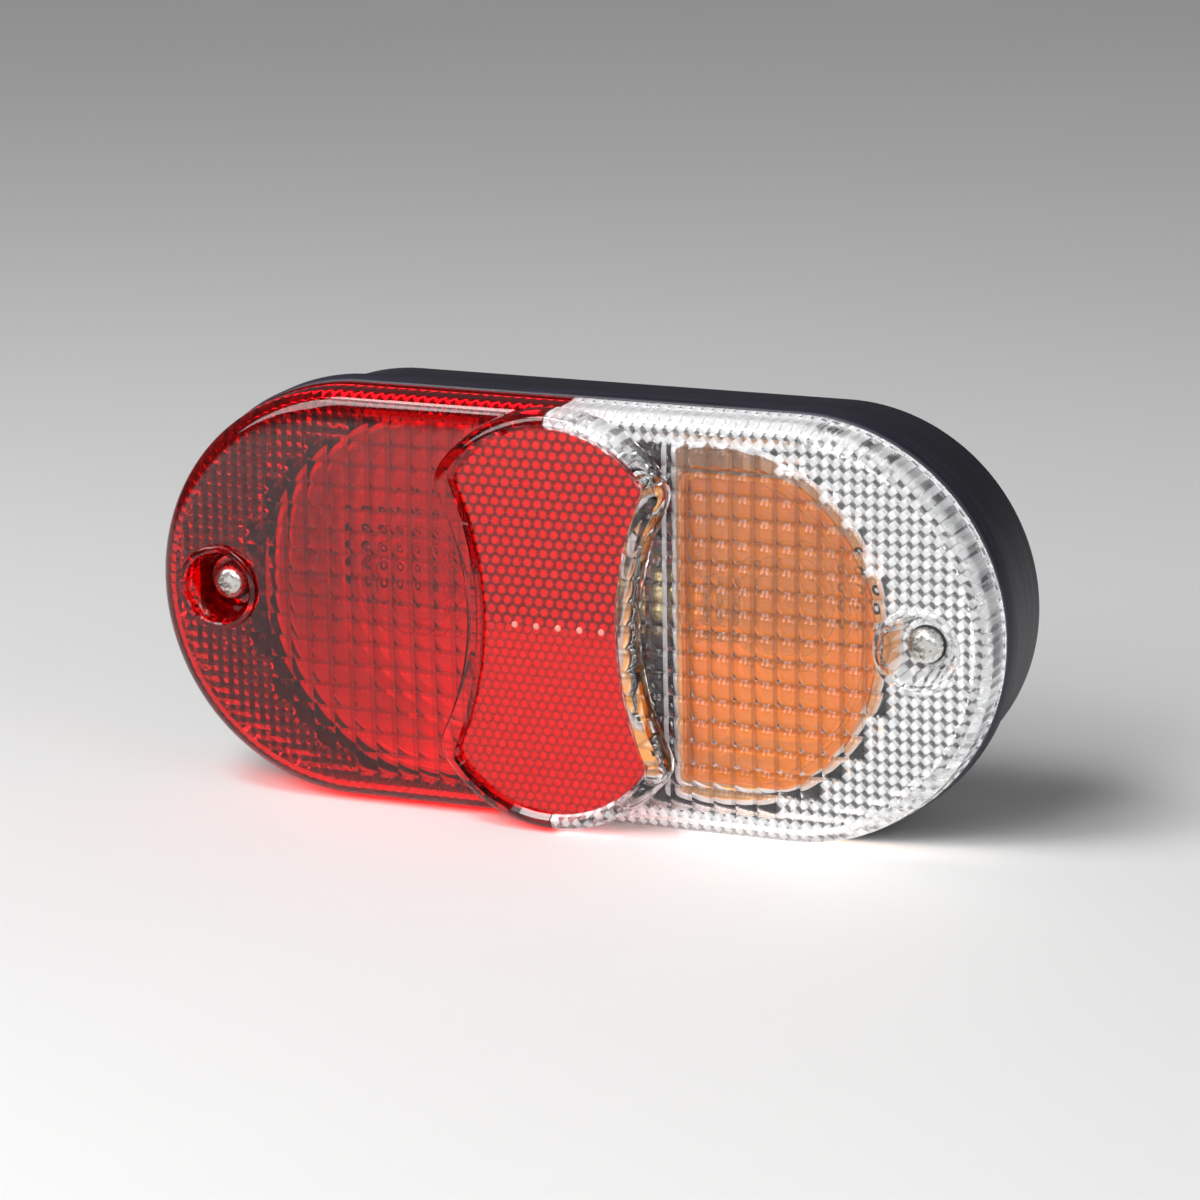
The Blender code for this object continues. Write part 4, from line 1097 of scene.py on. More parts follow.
def make_housing():
    """The two-tier shell with its seal groove, screw bosses and holes."""
    steps = settings("housing").arc_steps
    tier = RIM_Y + 0.0068
    rear, step, wall = 0.0038, 0.0024, 0.0026
    middle = (tier + REAR_Y) / 2
    sections = [(0.009, REAR_Y), (rear + 0.0012, REAR_Y), (rear + 0.0004, REAR_Y - 0.0004),
                (rear, REAR_Y - 0.0012), (rear - 0.0005, middle + 0.0006), (rear - 0.001, middle),
                (step, tier), (0.0006, tier), (0.0001, tier - 0.0002), (0.0, tier - 0.0006),
                (0.0, RIM_Y + 0.0006), (0.0002, RIM_Y + 0.0002), (0.0006, RIM_Y), (0.0014, RIM_Y),
                (0.0014, RIM_Y + 0.0016), (0.0032, RIM_Y + 0.0016), (0.0032, RIM_Y), (0.0042, RIM_Y),
                (0.0042, tier - 0.002), (step + wall, tier), (rear + wall, FLOOR_Y), (0.009, FLOOR_Y)]
    body = loft("housing_moulding", [(stadium(i, steps, 1, HOUSING_GROW), y) for i, y in sections])
    bosses, holes = [], []
    for _, sign in SIDES:
        at = (sign * SCREW_X, 0.0)
        bosses.append(turned("boss", [(0.0064, FLOOR_Y + 0.0015), (0.0054, RIM_Y)], at))
        holes.append(turned("insert", [(0.0035, RIM_Y - 0.001), (0.0035, RIM_Y + 0.0096),
                                       (0.0025, RIM_Y + 0.0096), (0.0025, SCREW_TIP + 0.002)], at))
        holes.append(turned("fixing", [(FIXING_HOLE, REAR_Y + 0.001), (FIXING_HOLE, FLOOR_Y - 0.001)],
                            (sign * FIXING_X, 0.0)))
    holes.append(turned("inlet", [(INLET_HOLE, REAR_Y + 0.001), (INLET_HOLE, FLOOR_Y - 0.001)],
                        (0.0, INLET_Z)))
    for z in (RIVET_Z, -RIVET_Z):
        seat = [(0.0033, REAR_Y + 0.001), (0.0033, REAR_Y - 0.0013),
                (RIVET_HOLE, REAR_Y - 0.0013), (RIVET_HOLE, FLOOR_Y - 0.001)]
        holes.append(turned("rivet", seat, (0.0, z)))
    join(body, merged("bosses", *bosses))
    cut(body, merged("holes", *holes))
    place(body, "base", "black_plastic", "housing", sharp=40)


# ---- screws

def threaded_shank(at, start, tip, steps=32):
    """A shank with a rolled thread, smooth under the head and tapered at the tip."""
    mesh = bmesh.new()
    pitch, depth, crest = 0.0007, 0.00024, SHANK - 0.00003
    count = round((tip - start) / pitch * 8)
    rings = []
    for k in range(count + 1):
        y = start + (tip - start) * k / count
        ring = []
        for i in range(steps):
            turn = i / steps
            tooth = abs(2 * ((y / pitch - turn) % 1.0) - 1)
            cut_in = min(1.0, max(0.0, (y - start - 0.0022) / 0.001))
            taper = max(0.0, (y - tip + 0.0013) / 0.0013)
            radius = crest - depth * cut_in * tooth - 0.0007 * taper
            angle = math.tau * turn
            u, v = radius * math.cos(angle), radius * math.sin(angle)
            ring.append(mesh.verts.new((at[0] + u, y, at[1] + v)))
        rings.append(ring)
    skin(mesh, rings)
    return object_from("shank", mesh, 30)


def make_screws():
    """Pan-head screws with a cross recess."""
    for side, sign in SIDES:
        at = (sign * SCREW_X, 0.0)
        head, height = 0.0042, 0.0025
        under = SCREW_TOP + height
        profile = [(0, SCREW_TOP), (0.0012, SCREW_TOP + 0.00004), (0.0022, SCREW_TOP + 0.00016),
                   (0.0031, SCREW_TOP + 0.00045), (0.0037, SCREW_TOP + 0.0009), (0.0041, SCREW_TOP + 0.0015),
                   (head, SCREW_TOP + 0.0020), (head, under - 0.0001), (head - 0.0001, under),
                   (SHANK - 0.0002, under), (SHANK - 0.0004, under + 0.0008), (0, under + 0.0008)]
        screw = turned("screw", profile, at, steps=64)
        join(screw, threaded_shank(at, under + 0.0002, SCREW_TIP))
        cross = bmesh.new()
        outline = []
        for quarter in range(4):
            a = math.radians(90 * quarter)
            for r, w in ((0.0026, -0.0006), (0.0026, 0.0006), (0.0012, 0.0012)):
                outline.append((r * math.cos(a) - w * math.sin(a), r * math.sin(a) + w * math.cos(a)))
        rings = []
        for scale, y in ((1.0, SCREW_TOP - 0.0005), (1.0, SCREW_TOP + 0.0002), (0.75, SCREW_TOP + 0.0021)):
            rings.append([cross.verts.new((at[0] + x * scale, y, at[1] + z * scale)) for x, z in outline])
        skin(cross, rings)
        cut(screw, object_from("cross", cross))
        screw.name = f"lens_screw_{side}_cross_head"
        place(screw, f"screw_{side}", "stainless", f"lens_screw_{side}", sharp=30)


# ---- bulbs, sockets and contacts

SLEEVE_BORE = 0.0078
SLEEVE_RADIUS = 0.0087
SLEEVE_BACK = 0.004
CAP_RADIUS = 0.0075
CAP_START = 0.0155
CAP_END = 0.031
BULB_RADIUS = 0.0125
BULB_CENTRE = 0.0465
PIN_X = 0.0205
PIN_RADIUS = 0.001
PUSH = 0.0015
TWIST = math.radians(22)
DISC_BACK, DISC_FRONT = 0.0107, 0.0123
CONTACT_SPREAD = 0.0031


def along(profile, sign):
    return [(radius, sign * x) for radius, x in profile]


def eased(profile, ease, closed=False):
    """The profile with each corner turned into a short curve."""
    out = []
    for i, spot in enumerate(profile):
        if not closed and i in (0, len(profile) - 1):
            out.append(spot)
            continue
        ends = []
        for other in (profile[i - 1], profile[(i + 1) % len(profile)]):
            gap = math.dist(spot, other)
            part = min(ease, 0.4 * gap) / gap
            ends.append((spot[0] + (other[0] - spot[0]) * part, spot[1] + (other[1] - spot[1]) * part))
        middle = tuple(0.25 * a + 0.5 * s + 0.25 * b for a, s, b in zip(ends[0], spot, ends[1]))
        out += [ends[0], middle, ends[1]]
    return out


def on_axis(name, profile, sign, steps=48, offset=0.0, **options):
    """A turned piece on a bulb's axis, or beside it by offset."""
    return turned(name, along(profile, sign), (AXIS_Y, offset), "X", steps, **options)


def plate(name, outline, axis, low, high):
    """A flat piece: the outline's two numbers are the other two axes, in order."""
    mesh = bmesh.new()
    rings = []
    for level in (low, high):
        spots = []
        for u, v in outline:
            spots.append({"X": (level, u, v), "Y": (u, level, v), "Z": (u, v, level)}[axis])
        rings.append([mesh.verts.new(spot) for spot in spots])
    skin(mesh, rings)
    return object_from(name, mesh)


def tube_slice(inner, outer, first, last, low, high, steps=10):
    """A slice of a tube round the bulb axis, as a cutter. Angles run from +Z towards -Y."""
    angles = [first + (last - first) * i / steps for i in range(steps + 1)]
    rim = [(outer, a) for a in angles] + [(inner, a) for a in reversed(angles)]
    return plate("slice", [(AXIS_Y - r * math.sin(a), r * math.cos(a)) for r, a in rim], "X", low, high)


def wound_wire():
    """A round wire wound into a helix."""
    field = Field("Wound Wire", Turns=3.0, Radius=0.0065, Wire=0.00035, Length=0.01, Steps=24, Tilt=0.0,
                  At_X=0.0, At_Y=0.0, At_Z=0.0, Material=None)
    helix = field.add("GeometryNodeCurveSpiral", {
        "Resolution": field.start["Steps"], "Rotations": field.start["Turns"],
        "Height": field.start["Length"], "Start Radius": field.start["Radius"],
        "End Radius": field.start["Radius"]})
    tilt = field.add("ShaderNodeCombineXYZ", {"Y": field.start["Tilt"]})
    spot = field.add("ShaderNodeCombineXYZ", {a: field.start["At_" + a] for a in "XYZ"})
    moved = field.add("GeometryNodeTransform", {"Geometry": helix.outputs[0], "Rotation": tilt.outputs[0],
                                                "Translation": spot.outputs[0]})
    section = field.add("GeometryNodeCurvePrimitiveCircle", {"Resolution": 8, "Radius": field.start["Wire"]})
    wire = field.add("GeometryNodeCurveToMesh", {"Curve": moved.outputs[0],
                                                 "Profile Curve": section.outputs[0], "Fill Caps": True})
    field.close(wire.outputs[0])
    return field


def wind(name, slot, **values):
    return run_field(new_object(name, bpy.data.meshes.new(name)), wound_wire(), slot, **values)


def contact_places(name):
    return (-CONTACT_SPREAD, CONTACT_SPREAD) if name == "tail" else (0.0,)


def pin_places(name):
    return ((0.0, PIN_X), (math.pi, PIN_X + (0.003 if name == "tail" else 0.0)))


def globe(radius, steps=16):
    """A bulb's round end as (radius, along), from its neck to its tip."""
    angles = [math.acos(-0.84) * (1 - i / steps) for i in range(steps)]
    wall = [(radius * math.sin(a), BULB_CENTRE + radius * math.cos(a)) for a in angles]
    return wall + [(0, BULB_CENTRE + radius)]


def make_bulbs():
    """Each bulb's glass, cap with two pins, base, contacts, stem and filament."""
    for name, sign in LAMPS:
        body = f"bulb_{name}"
        neck, reach = 0.0066, 0.031
        outer = [(neck, 0.0245), (neck, reach + 0.0005), (neck + 0.0006, reach + 0.0018)]
        outer += globe(BULB_RADIUS)
        inner = [(neck - 0.0008, 0.0245), (neck - 0.0008, reach + 0.0007), (neck, reach + 0.0022)]
        inner += globe(BULB_RADIUS - 0.0006)
        glass = on_axis(f"bulb_{name}_envelope", inner[::-1] + outer, sign)
        place(glass, body, "bulb_glass", f"bulb_{name}_glass", sharp=50)
        inside, crimp = CAP_RADIUS - 0.0006, CAP_RADIUS - 0.0004
        cap = on_axis(f"bulb_{name}_crimped_cap", [
            (inside, CAP_START), (crimp, CAP_START), (CAP_RADIUS, CAP_START + 0.0006), (CAP_RADIUS, 0.0270),
            (crimp, 0.0274), (crimp, 0.0280), (CAP_RADIUS, 0.0284), (CAP_RADIUS, 0.0302), (crimp, CAP_END),
            (inside, CAP_END)], sign, 64, closed=True)
        for angle, x in pin_places(name):
            side = math.cos(angle)
            pin = bmesh.new()
            rings = []
            for radius, z in eased([(PIN_RADIUS, 0.0073), (PIN_RADIUS, 0.0087), (0.0003, 0.0087)], 0.0003):
                rings.append([pin.verts.new((sign * x + radius * math.cos(math.tau * i / 20),
                                             AXIS_Y + radius * math.sin(math.tau * i / 20), side * z))
                              for i in range(20)])
            skin(pin, rings)
            join(cap, object_from("pin", pin))
        place(cap, body, "brass", f"bulb_{name}_cap", sharp=30)
        seat = CAP_RADIUS - 0.0009
        base = on_axis(f"bulb_{name}_base_glass", eased([
            (0, 0.0144), (0.8 * seat, 0.0144), (seat, 0.0158), (seat, 0.0183), (0, 0.0183)], 0.0004), sign)
        place(base, body, "bulb_black", f"bulb_{name}_base", sharp=30)
        labels = ("button_tail", "button_stop") if name == "tail" else ("button_indicator",)
        for label, offset in zip(labels, contact_places(name)):
            dome = [(0.0013 * math.sin(a), 0.01385 - 0.00045 * math.cos(a))
                    for a in (math.pi / 2 * i / 6 for i in range(1, 7))]
            button = on_axis(label + "_solder", [(0, 0.0134)] + dome + [(0.0013, 0.0141), (0, 0.0141)],
                             sign, 24, offset)
            place(button, body, "solder", label, sharp=40)
        stem = 0.0034
        mount = on_axis(f"bulb_{name}_stem", [
            (0, 0.0225), (stem, 0.0225), (stem, 0.0295), (0.75 * stem, 0.0312), (0.45 * stem, 0.0322),
            (0.4 * stem, 0.0328), (0, 0.033)], sign, 24)
        place(mount, body, "bulb_glass", f"bulb_{name}_mount", sharp=50)
        coil = wind("coil", "spring_steel", Turns=26.0, Radius=0.00042, Wire=0.00007, Length=0.0056, Steps=10,
                    At_X=sign * BULB_CENTRE, At_Y=AXIS_Y, At_Z=-0.0028)
        leads = []
        for z in (-0.0022, 0.0022):
            leads.append(on_axis("lead", [(0, 0.0315), (0.00018, 0.0315), (0.00018, 0.0466), (0.0001, 0.0469),
                                          (0, 0.0469)], sign, 10, z))
        filament = merged(f"bulb_{name}_filament", coil, *leads)
        place(filament, body, "spring_steel", f"bulb_{name}_mount", sharp=50)


def make_sockets():
    """Each sleeve with its bayonet slots, the spring in it and the contact board."""
    for name, sign in LAMPS:
        collar, end, wall, flare = 0.0147, 0.028, 0.0009, 0.0014
        eye = 0.45 * SLEEVE_BORE
        sleeve = on_axis(f"socket_{name}_sleeve", eased([
            (eye, SLEEVE_BACK), (SLEEVE_RADIUS, SLEEVE_BACK), (SLEEVE_RADIUS, collar - flare),
            (SLEEVE_RADIUS + flare, collar - flare), (SLEEVE_RADIUS + flare, collar), (SLEEVE_RADIUS, collar),
            (SLEEVE_RADIUS, end), (SLEEVE_BORE, end), (SLEEVE_BORE, SLEEVE_BACK + wall),
            (eye, SLEEVE_BACK + wall)], 0.0003, True), sign, 72, closed=True)
        play = PIN_RADIUS + GAP
        half, turn = math.asin(play / SLEEVE_BORE), sign * TWIST
        for angle, x in pin_places(name):
            low, high = x - PUSH - play, x + play
            near, far = SLEEVE_BORE - 0.0008, SLEEVE_RADIUS + 0.003
            cut(sleeve, tube_slice(near, far, angle + min(0, turn) - half, angle + max(0, turn) + half,
                                   *sorted((sign * low, sign * high))),
                tube_slice(near, far, angle + turn - half, angle + turn + half,
                           *sorted((sign * (low + 0.0001), sign * (end + 0.001)))))
        place(sleeve, "base", "brass", f"socket_{name}", sharp=30)
        wire = 0.00035
        start = SLEEVE_BACK + wall + GAP + wire
        length = DISC_BACK - SLEEVE_BACK - wall - 2 * (GAP + wire)
        spring = wind(f"socket_{name}_coil_spring", "spring_steel", Turns=3.0, Wire=wire,
                      Length=sign * length, Radius=SLEEVE_BORE - GAP - wire - 0.0006,
                      Steps=28, Tilt=math.pi / 2, At_X=sign * start, At_Y=AXIS_Y)
        place(spring, "base", "spring_steel", f"socket_spring_{name}", sharp=50)
        room = DISC_BACK - SLEEVE_BACK - wall
        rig.squash(spring, f"{name}_push", axis=(1, 0, 0), anchor=(sign * (SLEEVE_BACK + wall), AXIS_Y, 0),
                  keep=1 - PUSH / room)
        body = f"contacts_{name}"
        rim = SLEEVE_BORE - GAP
        disc = on_axis(f"contact_board_{name}", eased([(0, DISC_BACK), (rim, DISC_BACK), (rim, DISC_FRONT),
                                                       (0, DISC_FRONT)], 0.0003), sign, 64)
        labels = ("contact_tail", "contact_stop") if name == "tail" else ("contact_indicator",)
        for label, offset in zip(labels, contact_places(name)):
            bore = 0.0008 + GAP
            hole = [(bore, DISC_BACK - 0.001), (bore, DISC_FRONT + 0.001)]
            cut(disc, on_axis("hole", hole, sign, 24, offset))
            head, front = 0.0019, DISC_FRONT + GAP
            rivet = on_axis(label + "_rivet", [
                (0, DISC_BACK - 0.0022), (0.0005, DISC_BACK - 0.0022), (0.0008, DISC_BACK - 0.0019),
                (0.0008, front), (head, front), (head, front + 0.0002), (0.92 * head, front + 0.00033),
                (0.7 * head, front + 0.00044), (0.4 * head, front + 0.0005), (0, front + 0.0005)],
                sign, 32, offset)
            place(rivet, body, "brass", label, sharp=35)
        place(disc, body, "phenolic", f"contact_disc_{name}", sharp=30)


# ---- holder, rubber and fixings

def make_holder():
    """The folded bracket that holds both sockets, its two rivets and the earth tab."""
    back = FLOOR_Y - GAP
    sheet, half_x, half_z = 0.0012, 0.0162, 0.0150
    top, tall = AXIS_Y - SLEEVE_RADIUS - 0.0032, SLEEVE_RADIUS + 0.0032
    bracket = block("holder_bracket_folded", (-half_x + 0.0008, back - sheet, -half_z),
                    (half_x - 0.0008, back, half_z), 0.0003)
    ease = 0.004
    for _, sign in SIDES:
        corner = [(top + ease * (1 - math.sin(a)), tall - ease * (1 - math.cos(a)))
                  for a in (math.pi / 2 * i / 6 for i in range(7))]
        outline = [(back - 0.0004, tall)] + corner
        outline += [(y, -z) for y, z in reversed(outline)]
        near, far = sorted((sign * (half_x - sheet), sign * half_x))
        join(bracket, plate("cheek", outline, "X", near, far))
        fold = [(sign * (half_x - 0.0012), back), (sign * (half_x - 0.0004), back - 0.0001),
                (sign * half_x, back - 0.0006), (sign * half_x, back - 0.0014),
                (sign * (half_x - 0.001), back - 0.0024), (sign * (half_x - 0.0016), back - 0.0016),
                (sign * (half_x - 0.0026), back - 0.0010)]
        join(bracket, plate("fold", fold, "Z", -tall + 0.0001, tall - 0.0001))
        radius = SLEEVE_RADIUS + GAP
        cut(bracket, on_axis("eye", [(radius, 0.0135), (radius, 0.0172)], sign, 64))
    for z in (RIVET_Z, -RIVET_Z):
        cut(bracket, turned("rivet hole", [(RIVET_HOLE, FLOOR_Y + 0.001), (RIVET_HOLE, back - 0.003)],
                            (0.0, z), steps=32))
    place(bracket, "base", "zinc", "holder_bracket", sharp=30)
    for label, z in (("upper", RIVET_Z), ("lower", -RIVET_Z)):
        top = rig.box("bracket_rivet_" + label)[0].y
        head, shank, under = 0.003, 0.0014, top + 0.0011
        rear, rear_top = REAR_Y - GAP, REAR_Y - 0.001
        dome = [(head * math.cos(a), under - 0.0003 - 0.0008 * math.sin(a)) for a in
                (math.pi / 2 * i / 8 for i in range(8))]
        rivet = turned(f"bracket_rivet_{label}_domed", [
            (0, rear), (head - 0.0003, rear), (head, rear - 0.0002), (head, rear_top), (shank, rear_top),
            (shank, under), (head, under)] + dome + [(0, top)], (0.0, z), steps=40)
        place(rivet, "base", "zinc", f"bracket_rivet_{label}", sharp=35)
    low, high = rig.box("earth_tab")
    thick, hook = 0.0008, 0.0012
    tab = block("earth_tab_blade", (low.x, high.y - thick, low.z + 0.0003), high, 0.0002)
    tip = [(low.x, high.y - 0.0003), (low.x, low.y + hook), (low.x + hook, low.y), (high.x - hook, low.y),
           (high.x, low.y + hook), (high.x, high.y - 0.0003)]
    join(tab, plate("blade", tip, "Z", low.z, low.z + thick))
    cut(tab, turned("tab hole", [(RIVET_HOLE, high.y + 0.001), (RIVET_HOLE, high.y - 0.003)], (0.0, -RIVET_Z),
                    steps=32))
    eye = [(0.0008 * math.cos(a), low.y + 0.003 + 0.0008 * math.sin(a)) for a in
           (math.tau * i / 20 for i in range(20))]
    cut(tab, plate("eye", eye, "Z", low.z - 0.001, low.z + 0.002))
    place(tab, "base", "brass", "earth_tab", sharp=30)


def bush(name, node, bore, wall, flange, thick, at):
    outer, top = bore + wall, FLOOR_Y - GAP
    profile = eased([(bore, REAR_Y), (outer, REAR_Y), (outer, top), (outer + flange, top),
                     (outer + flange, top - thick), (bore, top - thick)], 0.0004, True)
    place(turned(name, profile, at, steps=56, closed=True), "base", "black_rubber", node, sharp=35)


def make_rubber():
    """The lens seal, the mounting pad, the cable grommet and the two bushes."""
    steps = settings("housing").arc_steps
    low, high, lip = 0.0014 + GAP, 0.0032 - GAP, 0.0003
    bottom = RIM_Y + 0.0016 - GAP
    seal = loft("lens_seal_cord", [(stadium(inset, steps, 1, HOUSING_GROW), y) for inset, y in (
        (low, bottom), (low, RIM_Y + lip), (low + lip, RIM_Y), (high - lip, RIM_Y), (high, RIM_Y + lip),
        (high, bottom))], closed=True)
    place(seal, "base", "black_rubber", "lens_seal", sharp=40)
    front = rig.box("mounting_pad")[0].y
    edge = 0.0088
    pad = loft("mounting_pad_grooved", [(stadium(inset, steps, 1, HOUSING_GROW), y) for inset, y in (
        (edge + lip, 0.0), (edge, -lip), (edge, front + lip), (edge + lip, front))])
    for inset in (0.0125, 0.0150):
        groove = [(inset, 0.001), (inset, -0.0004), (inset + 0.0009, -0.0004), (inset + 0.0009, 0.001)]
        cut(pad, loft("groove", [(stadium(i, steps, 1, HOUSING_GROW), y) for i, y in groove], closed=True))
    for radius, at in ((FIXING_HOLE, (-FIXING_X, 0.0)), (FIXING_HOLE, (FIXING_X, 0.0)),
                       (INLET_HOLE, (0.0, INLET_Z))):
        cut(pad, turned("pad hole", [(radius, 0.001), (radius, front - 0.001)], at, steps=56))
    place(pad, "base", "black_rubber", "mounting_pad", sharp=40)
    bush("cable_grommet_ring", "cable_grommet", 0.0036, 0.0018, 0.0025, 0.0015, (0.0, INLET_Z))
    for side, sign in SIDES:
        bush(f"fixing_bush_{side}_ring", f"fixing_bush_{side}", 0.0031, 0.0014, 0.0015, 0.0012,
             (sign * FIXING_X, 0.0))


def knurl():
    """Pushes the outside of a sleeve in and out round its axis."""
    field = Field("Knurl", Ribs=28.0, Depth=0.00018, Material=None)
    turn = field.maths("MULTIPLY", field.named("turn"), field.start["Ribs"])
    wave = field.maths("ABSOLUTE", field.maths("MULTIPLY_ADD", field.maths("FRACT", turn), 2.0, -1.0))
    push = field.add("ShaderNodeVectorMath", operation="SCALE")
    field.feed(field.named("inward", "FLOAT_VECTOR"), push.inputs[0])
    field.feed(field.maths("MULTIPLY", wave, field.start["Depth"]), push.inputs["Scale"])
    moved = field.add("GeometryNodeSetPosition",
                      {"Geometry": field.start["Geometry"], "Offset": push.outputs[0]})
    field.close(moved.outputs[0])
    return field


def make_inserts():
    """The knurled inserts in the bosses and the washers under the screw heads."""
    for side, sign in SIDES:
        low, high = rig.box(f"screw_insert_{side}")
        centre_x, centre_z = (low.x + high.x) / 2, (low.z + high.z) / 2
        bore, outer = SHANK + GAP, SHANK + GAP + 0.0011
        mesh = bmesh.new()
        turn = mesh.verts.layers.float.new("turn")
        inward = mesh.verts.layers.float_vector.new("inward")
        rings, steps = [], 112
        for radius, y, ribbed in (
                (bore, low.y, 0), (outer - 0.0003, low.y, 0), (outer, low.y + 0.0006, 1),
                (outer, high.y - 0.0006, 1), (outer - 0.0003, high.y, 0), (bore, high.y, 0)):
            ring = []
            for i in range(steps):
                a = math.tau * i / steps
                vertex = mesh.verts.new((centre_x + radius * math.cos(a), y, centre_z + radius * math.sin(a)))
                vertex[turn] = i / steps
                vertex[inward] = (-ribbed * math.cos(a), 0, -ribbed * math.sin(a))
                ring.append(vertex)
            rings.append(ring)
        skin(mesh, rings, closed=True)
        insert = run_field(object_from(f"screw_insert_{side}_knurled", mesh), knurl(), "brass")
        place(insert, "base", "brass", f"screw_insert_{side}", sharp=30)
        low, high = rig.box(f"screw_washer_{side}")
        outer = (high.x - low.x) / 2
        washer = turned(f"screw_washer_{side}_ring", eased([
            (SHANK + GAP, low.y), (outer, low.y), (outer, high.y), (SHANK + GAP, high.y)], 0.00035, True),
            (sign * SCREW_X, 0.0), steps=56, closed=True)
        place(washer, f"screw_travel_{side}", "black_rubber", f"screw_washer_{side}", sharp=40)


# ---- stage

# the camera stands right of the lamp and above it, tipped a little to one side
EYE_PLACE = Vector((0.4445, -1.0457, 0.2847))
EYE_RIGHT = Vector((0.91850, 0.39509, -0.01597))
EYE_UP = Vector((-0.08413, 0.23473, 0.96841))


def make_stage():
    """Lays the floor and sets the surround, five softboxes, an even light from above and the camera."""
    stage = settings("stage")
    floor_z = CAD_BOX[0][2] - 0.0002
    mesh = bmesh.new()
    corners = [mesh.verts.new((x, y, floor_z)) for x, y in ((-9, -9), (9, -9), (9, 9), (-9, 9))]
    mesh.faces.new(corners)
    floor = new_object("floor", mesh_data("floor", mesh))
    shade = Shader("floor", stage.floor, 0.7)
    cloud = shade.noise((3, 3, 3), 3.0)
    shade.base(shade.blend(shade.spread(cloud, 0.0, 1.0), stage.floor, [c * 0.97 for c in stage.floor]))
    floor.data.materials.append(shade.mat)
    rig.stage(floor)
    world = bpy.data.worlds.new("surround")
    world.use_nodes = True
    world.node_tree.nodes["Background"].inputs["Color"].default_value = (*stage.sky, 1.0)
    world.node_tree.nodes["Background"].inputs["Strength"].default_value = stage.sky_strength
    bpy.context.scene.world = world
    for name, azimuth, elevation, distance, width, height, power in (
            ("key", -40, 62, 1.0, 0.5, 0.22, 0.9),
            ("left strip", -42, 30, 1.2, 0.40, 0.75, 1.3),
            ("middle strip", -4.5, 30, 1.2, 0.34, 0.75, 1.1),
            ("fill", 62, 24, 1.2, 0.5, 0.6, 0.55),
            ("ring", 23.5, 17, 1.5, 0.62, 0.5, 0.5)):
        light = bpy.data.lights.new(name, "AREA")
        light.shape, light.size, light.size_y = "RECTANGLE", width, height
        light.energy = stage.key_power * power
        lamp = new_object(name, light)
        spot = Vector((math.sin(math.radians(azimuth)) * math.cos(math.radians(elevation)),
                       -math.cos(math.radians(azimuth)) * math.cos(math.radians(elevation)),
                       math.sin(math.radians(elevation)))) * distance
        lamp.location = spot
        lamp.rotation_euler = (Vector((0, -0.02, 0)) - spot).to_track_quat("-Z", "Y").to_euler()
    sun = bpy.data.lights.new("overhead", "SUN")
    sun.energy, sun.angle = stage.overhead, math.radians(35)
    lamp = new_object("overhead", sun)
    lamp.rotation_euler = (math.radians(32), math.radians(-18), 0.0)
    eye = bpy.data.cameras.new("eye")
    eye.sensor_width, eye.lens = 36.0, 147.4
    camera = new_object("eye", eye)
    back = EYE_RIGHT.cross(EYE_UP).normalized()
    turn = Matrix((EYE_RIGHT, EYE_UP, back)).transposed().to_4x4()
    camera.matrix_world = Matrix.Translation(EYE_PLACE) @ turn
    bpy.context.scene.camera = camera
    bpy.context.scene.view_settings.view_transform = "Standard"


# ---- operators

class LAMP_OT_build_housing(bpy.types.Operator):
    """Builds the two-tier housing."""
    bl_idname = "lamp.build_housing"
    bl_label = "Housing"
    bl_options = {"REGISTER", "UNDO"}

    def execute(self, context):
        make_housing()
        return {"FINISHED"}


class LAMP_OT_build_rubber(bpy.types.Operator):
    """Builds the pad, the lens seal, the grommet and the bushes."""
    bl_idname = "lamp.build_rubber"
    bl_label = "Pad, seal and bushes"
    bl_options = {"REGISTER", "UNDO"}

    def execute(self, context):
        make_rubber()
        return {"FINISHED"}


class LAMP_OT_build_trays(bpy.types.Operator):
    """Builds the two metallised trays."""
    bl_idname = "lamp.build_trays"
    bl_label = "Trays"
    bl_options = {"REGISTER", "UNDO"}

    def execute(self, context):
        make_trays()
        return {"FINISHED"}


class LAMP_OT_build_holder(bpy.types.Operator):
    """Builds the bracket, its rivets and the earth tab."""
    bl_idname = "lamp.build_holder"
    bl_label = "Bulb holder"
    bl_options = {"REGISTER", "UNDO"}

    def execute(self, context):
        make_holder()
        return {"FINISHED"}


class LAMP_OT_build_sockets(bpy.types.Operator):
    """Builds the sockets, their springs and the contact boards."""
    bl_idname = "lamp.build_sockets"
    bl_label = "Sockets"
    bl_options = {"REGISTER", "UNDO"}

    def execute(self, context):
        make_sockets()
        return {"FINISHED"}


class LAMP_OT_build_bulbs(bpy.types.Operator):
    """Builds the caps, glasses, stems and filaments."""
    bl_idname = "lamp.build_bulbs"
    bl_label = "Bulbs"
    bl_options = {"REGISTER", "UNDO"}

    def execute(self, context):
        make_bulbs()
        return {"FINISHED"}


class LAMP_OT_build_amber(bpy.types.Operator):
    """Builds the indicator's filter."""
    bl_idname = "lamp.build_amber"
    bl_label = "Amber filter"
    bl_options = {"REGISTER", "UNDO"}

    def execute(self, context):
        make_amber()
        return {"FINISHED"}


class LAMP_OT_build_lens(bpy.types.Operator):
    """Builds the two-colour lens with its optics."""
    bl_idname = "lamp.build_lens"
    bl_label = "Lens"
    bl_options = {"REGISTER", "UNDO"}

    def execute(self, context):
        make_lens()
        return {"FINISHED"}


class LAMP_OT_build_reflector(bpy.types.Operator):
    """Builds the reflex reflector and its backing."""
    bl_idname = "lamp.build_reflector"
    bl_label = "Reflector"
    bl_options = {"REGISTER", "UNDO"}

    def execute(self, context):
        make_reflector()
        return {"FINISHED"}


